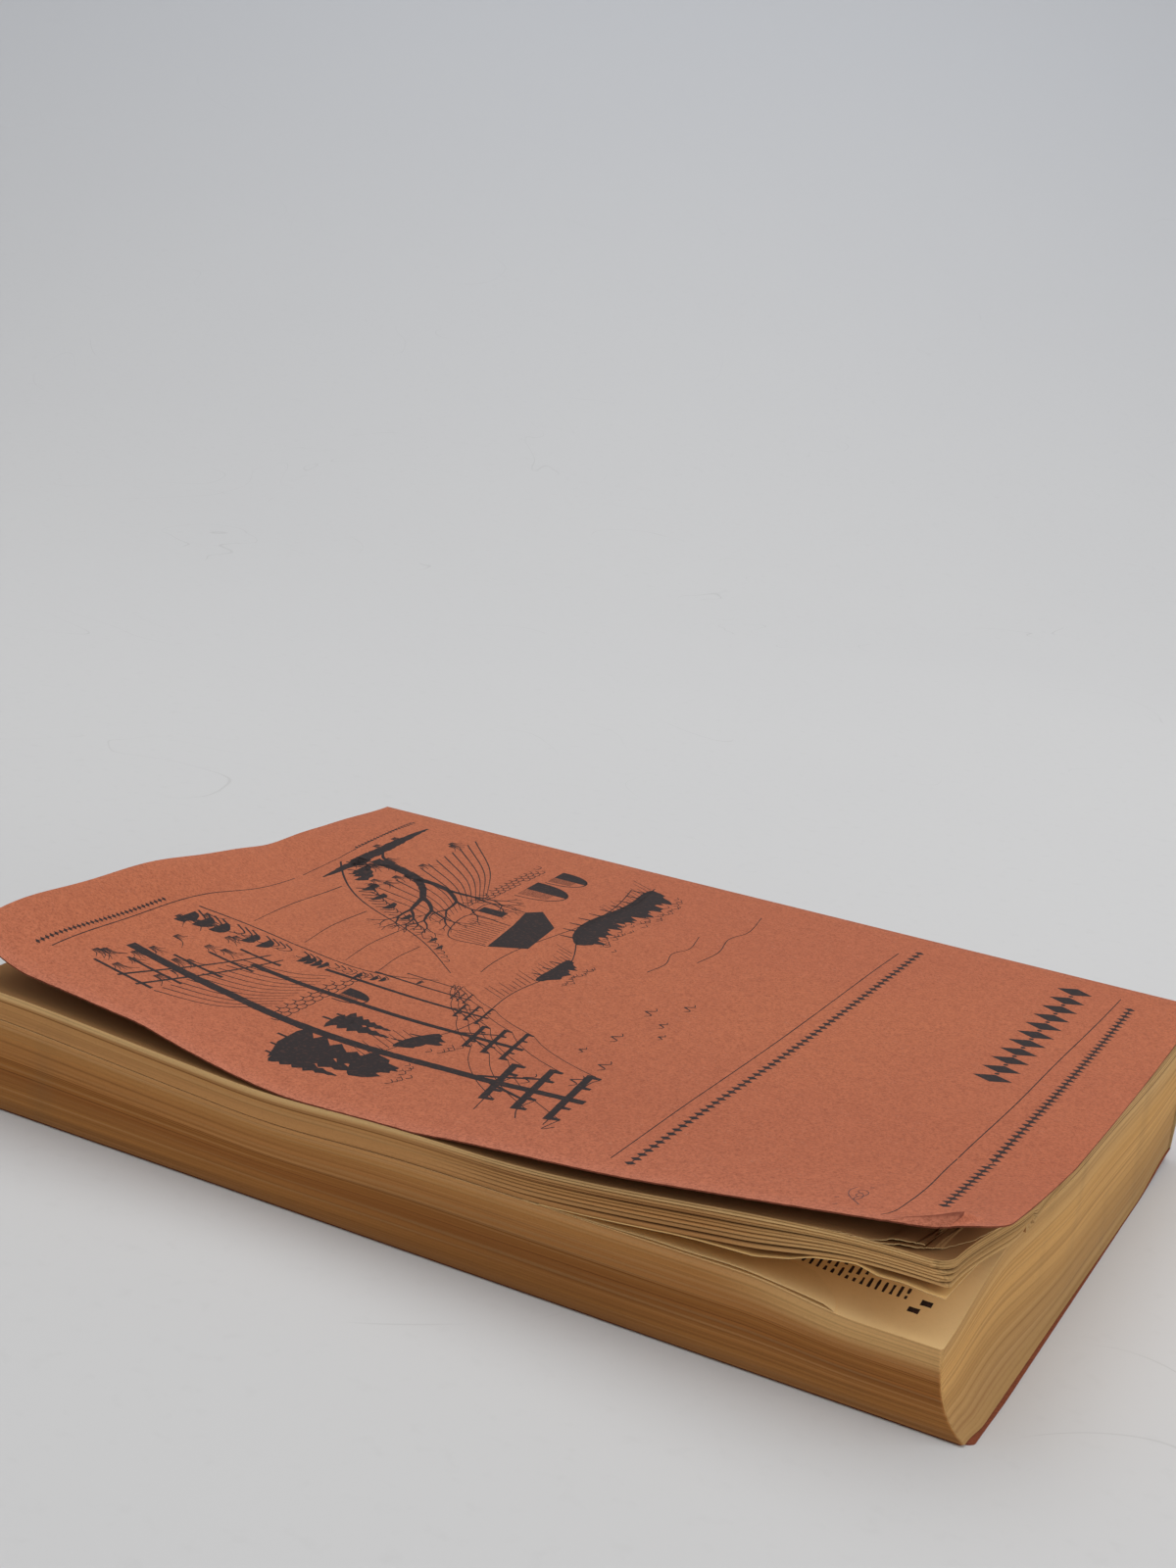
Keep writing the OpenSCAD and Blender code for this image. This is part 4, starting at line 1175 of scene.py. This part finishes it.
ornaments, given = geometry_tree("ornament_row", {
    "Start": ("NodeSocketVector", None), "Step": ("NodeSocketVector", None), "Count": ("NodeSocketInt", 10),
    "Corners": ("NodeSocketInt", 4), "Half Size": ("NodeSocketVector", None)})
line = add(ornaments, "GeometryNodeMeshLine", {"Count": given["Count"], "Start Location": given["Start"],
                                              "Offset": given["Step"]}, mode="OFFSET")
ornament = add(ornaments, "GeometryNodeMeshCylinder", {
    "Vertices": given["Corners"], "Radius": 1.0, "Depth": 1.0}, fill_type="TRIANGLE_FAN")
finer = add(ornaments, "GeometryNodeSubdivideMesh", {"Mesh": ornament.outputs["Mesh"], "Level": 1})
placed = add(ornaments, "GeometryNodeInstanceOnPoints", {
    "Points": line.outputs[0], "Instance": finer.outputs[0], "Scale": given["Half Size"]})
whole = add(ornaments, "GeometryNodeRealizeInstances", {0: placed.outputs[0]})
joined = add(ornaments, "GeometryNodeJoinGeometry", {0: given["Geometry"]})
ornaments.links.new(whole.outputs[0], joined.inputs[0])
inked = add(ornaments, "GeometryNodeSetMaterial", {"Geometry": joined.outputs[0], "Material": printing_ink})
add(ornaments, "NodeGroupOutput", {"Geometry": inked.outputs[0]})

print_piece = mesh_object("cover_print", [], [])
for start, end, count, half_width, half_height in ROWS_MM:
    start, end = (np.array([*point, 0.0]) / 1000 for point in (start, end))
    step = (end - start) / (count - 1)
    lozenge, dot = (half_width / 1000, half_height / 1000, 1.0), (half_width / 4000, half_width / 4000, 1.0)
    for first, number, corners, half_size in ((start, count, 4, lozenge),
                                              (start + step / 2, count - 1, 8, dot)):
        run_tree(print_piece, ornaments, {"Start": first.tolist(), "Step": step.tolist(), "Count": number,
                                          "Corners": corners, "Half Size": half_size})
flat = np.zeros(len(print_piece.data.vertices) * 3)
print_piece.data.vertices.foreach_get("co", flat)
flat = flat.reshape(-1, 3)
laid = lay_on_cover(flat, np.where(flat[:, 2] > 0, INK_RISE, -INK_SUNK))
print_piece.data.vertices.foreach_set("co", laid.astype(np.float32).ravel())
print_piece.data.flip_normals()
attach(print_piece, "front")

for rule in RULES_MM:
    stroke(rule, 0.32, 0.32, 0.15)
print_rules = ink_from_plate("cover_rules", printing_ink)
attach(print_rules, "front")


# A pen scribble near the corner, where somebody tried out a ballpoint.
# Its faded ink is laid on the cover in the same way as the print.
turn = np.linspace(0, 5 * math.pi, 34)
loops = np.stack([192 + 0.42 * turn + 1.7 * np.cos(turn), 37 + 1.6 * np.sin(turn) * (1 - turn / 24)], -1)
stroke(loops, 0.22, 0.3)
stroke([(190, 39.5), (193, 40.4), (197, 39.2), (202, 35)], 0.2, 0.3)
for a, b in ((188.5, 36), (204, 39), (199, 41)):
    stroke([(a, b), (a + 0.6, b + 0.8)], 0.4, 0.3)
ballpoint, _, shader, _ = new_material("ballpoint", roughness=0.6, specular=0.3)
shader.inputs["Base Color"].default_value = paint(92, 52, 48)
scribble = ink_from_plate("pen_scribble", ballpoint)
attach(scribble, "front")


# The print on the leaf that shows in the parting: a bold mark and rows of short dashes, in the printing ink.
# It is laid on the topmost of the lower leaves.
for a, b in ((196.5, 9.5), (199.5, 11.5)):
    stroke([(a, b - 1.2), (a, b + 1.6)], 1.7, 1.7, 0.1)
for b in np.arange(15, 70, 1.9):
    a = 197.0
    while a > 168:
        long = chance.uniform(1.0, 3.5)
        stroke([(a, b), (a - long, b)], 0.75, 0.65, 0.25)
        a -= long + chance.uniform(0.6, 1.4)


def lay_on_lower_leaf(points, rise):
    """Plate points in metres, as places on the topmost of the lower leaves."""
    h, v = points[..., 1], PAGE_W - points[..., 0]
    z = lower_top(h, v)
    x = PAGE_H / 2 - h - set_back(v, z, 0.0) * toward_head(h)
    return np.stack([x, v - PAGE_W / 2 + lean(PARTING_SHARE, v), z + rise], -1)


page_print = ink_from_plate("page_print", printing_ink, lay_on_lower_leaf)
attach(page_print, "book")
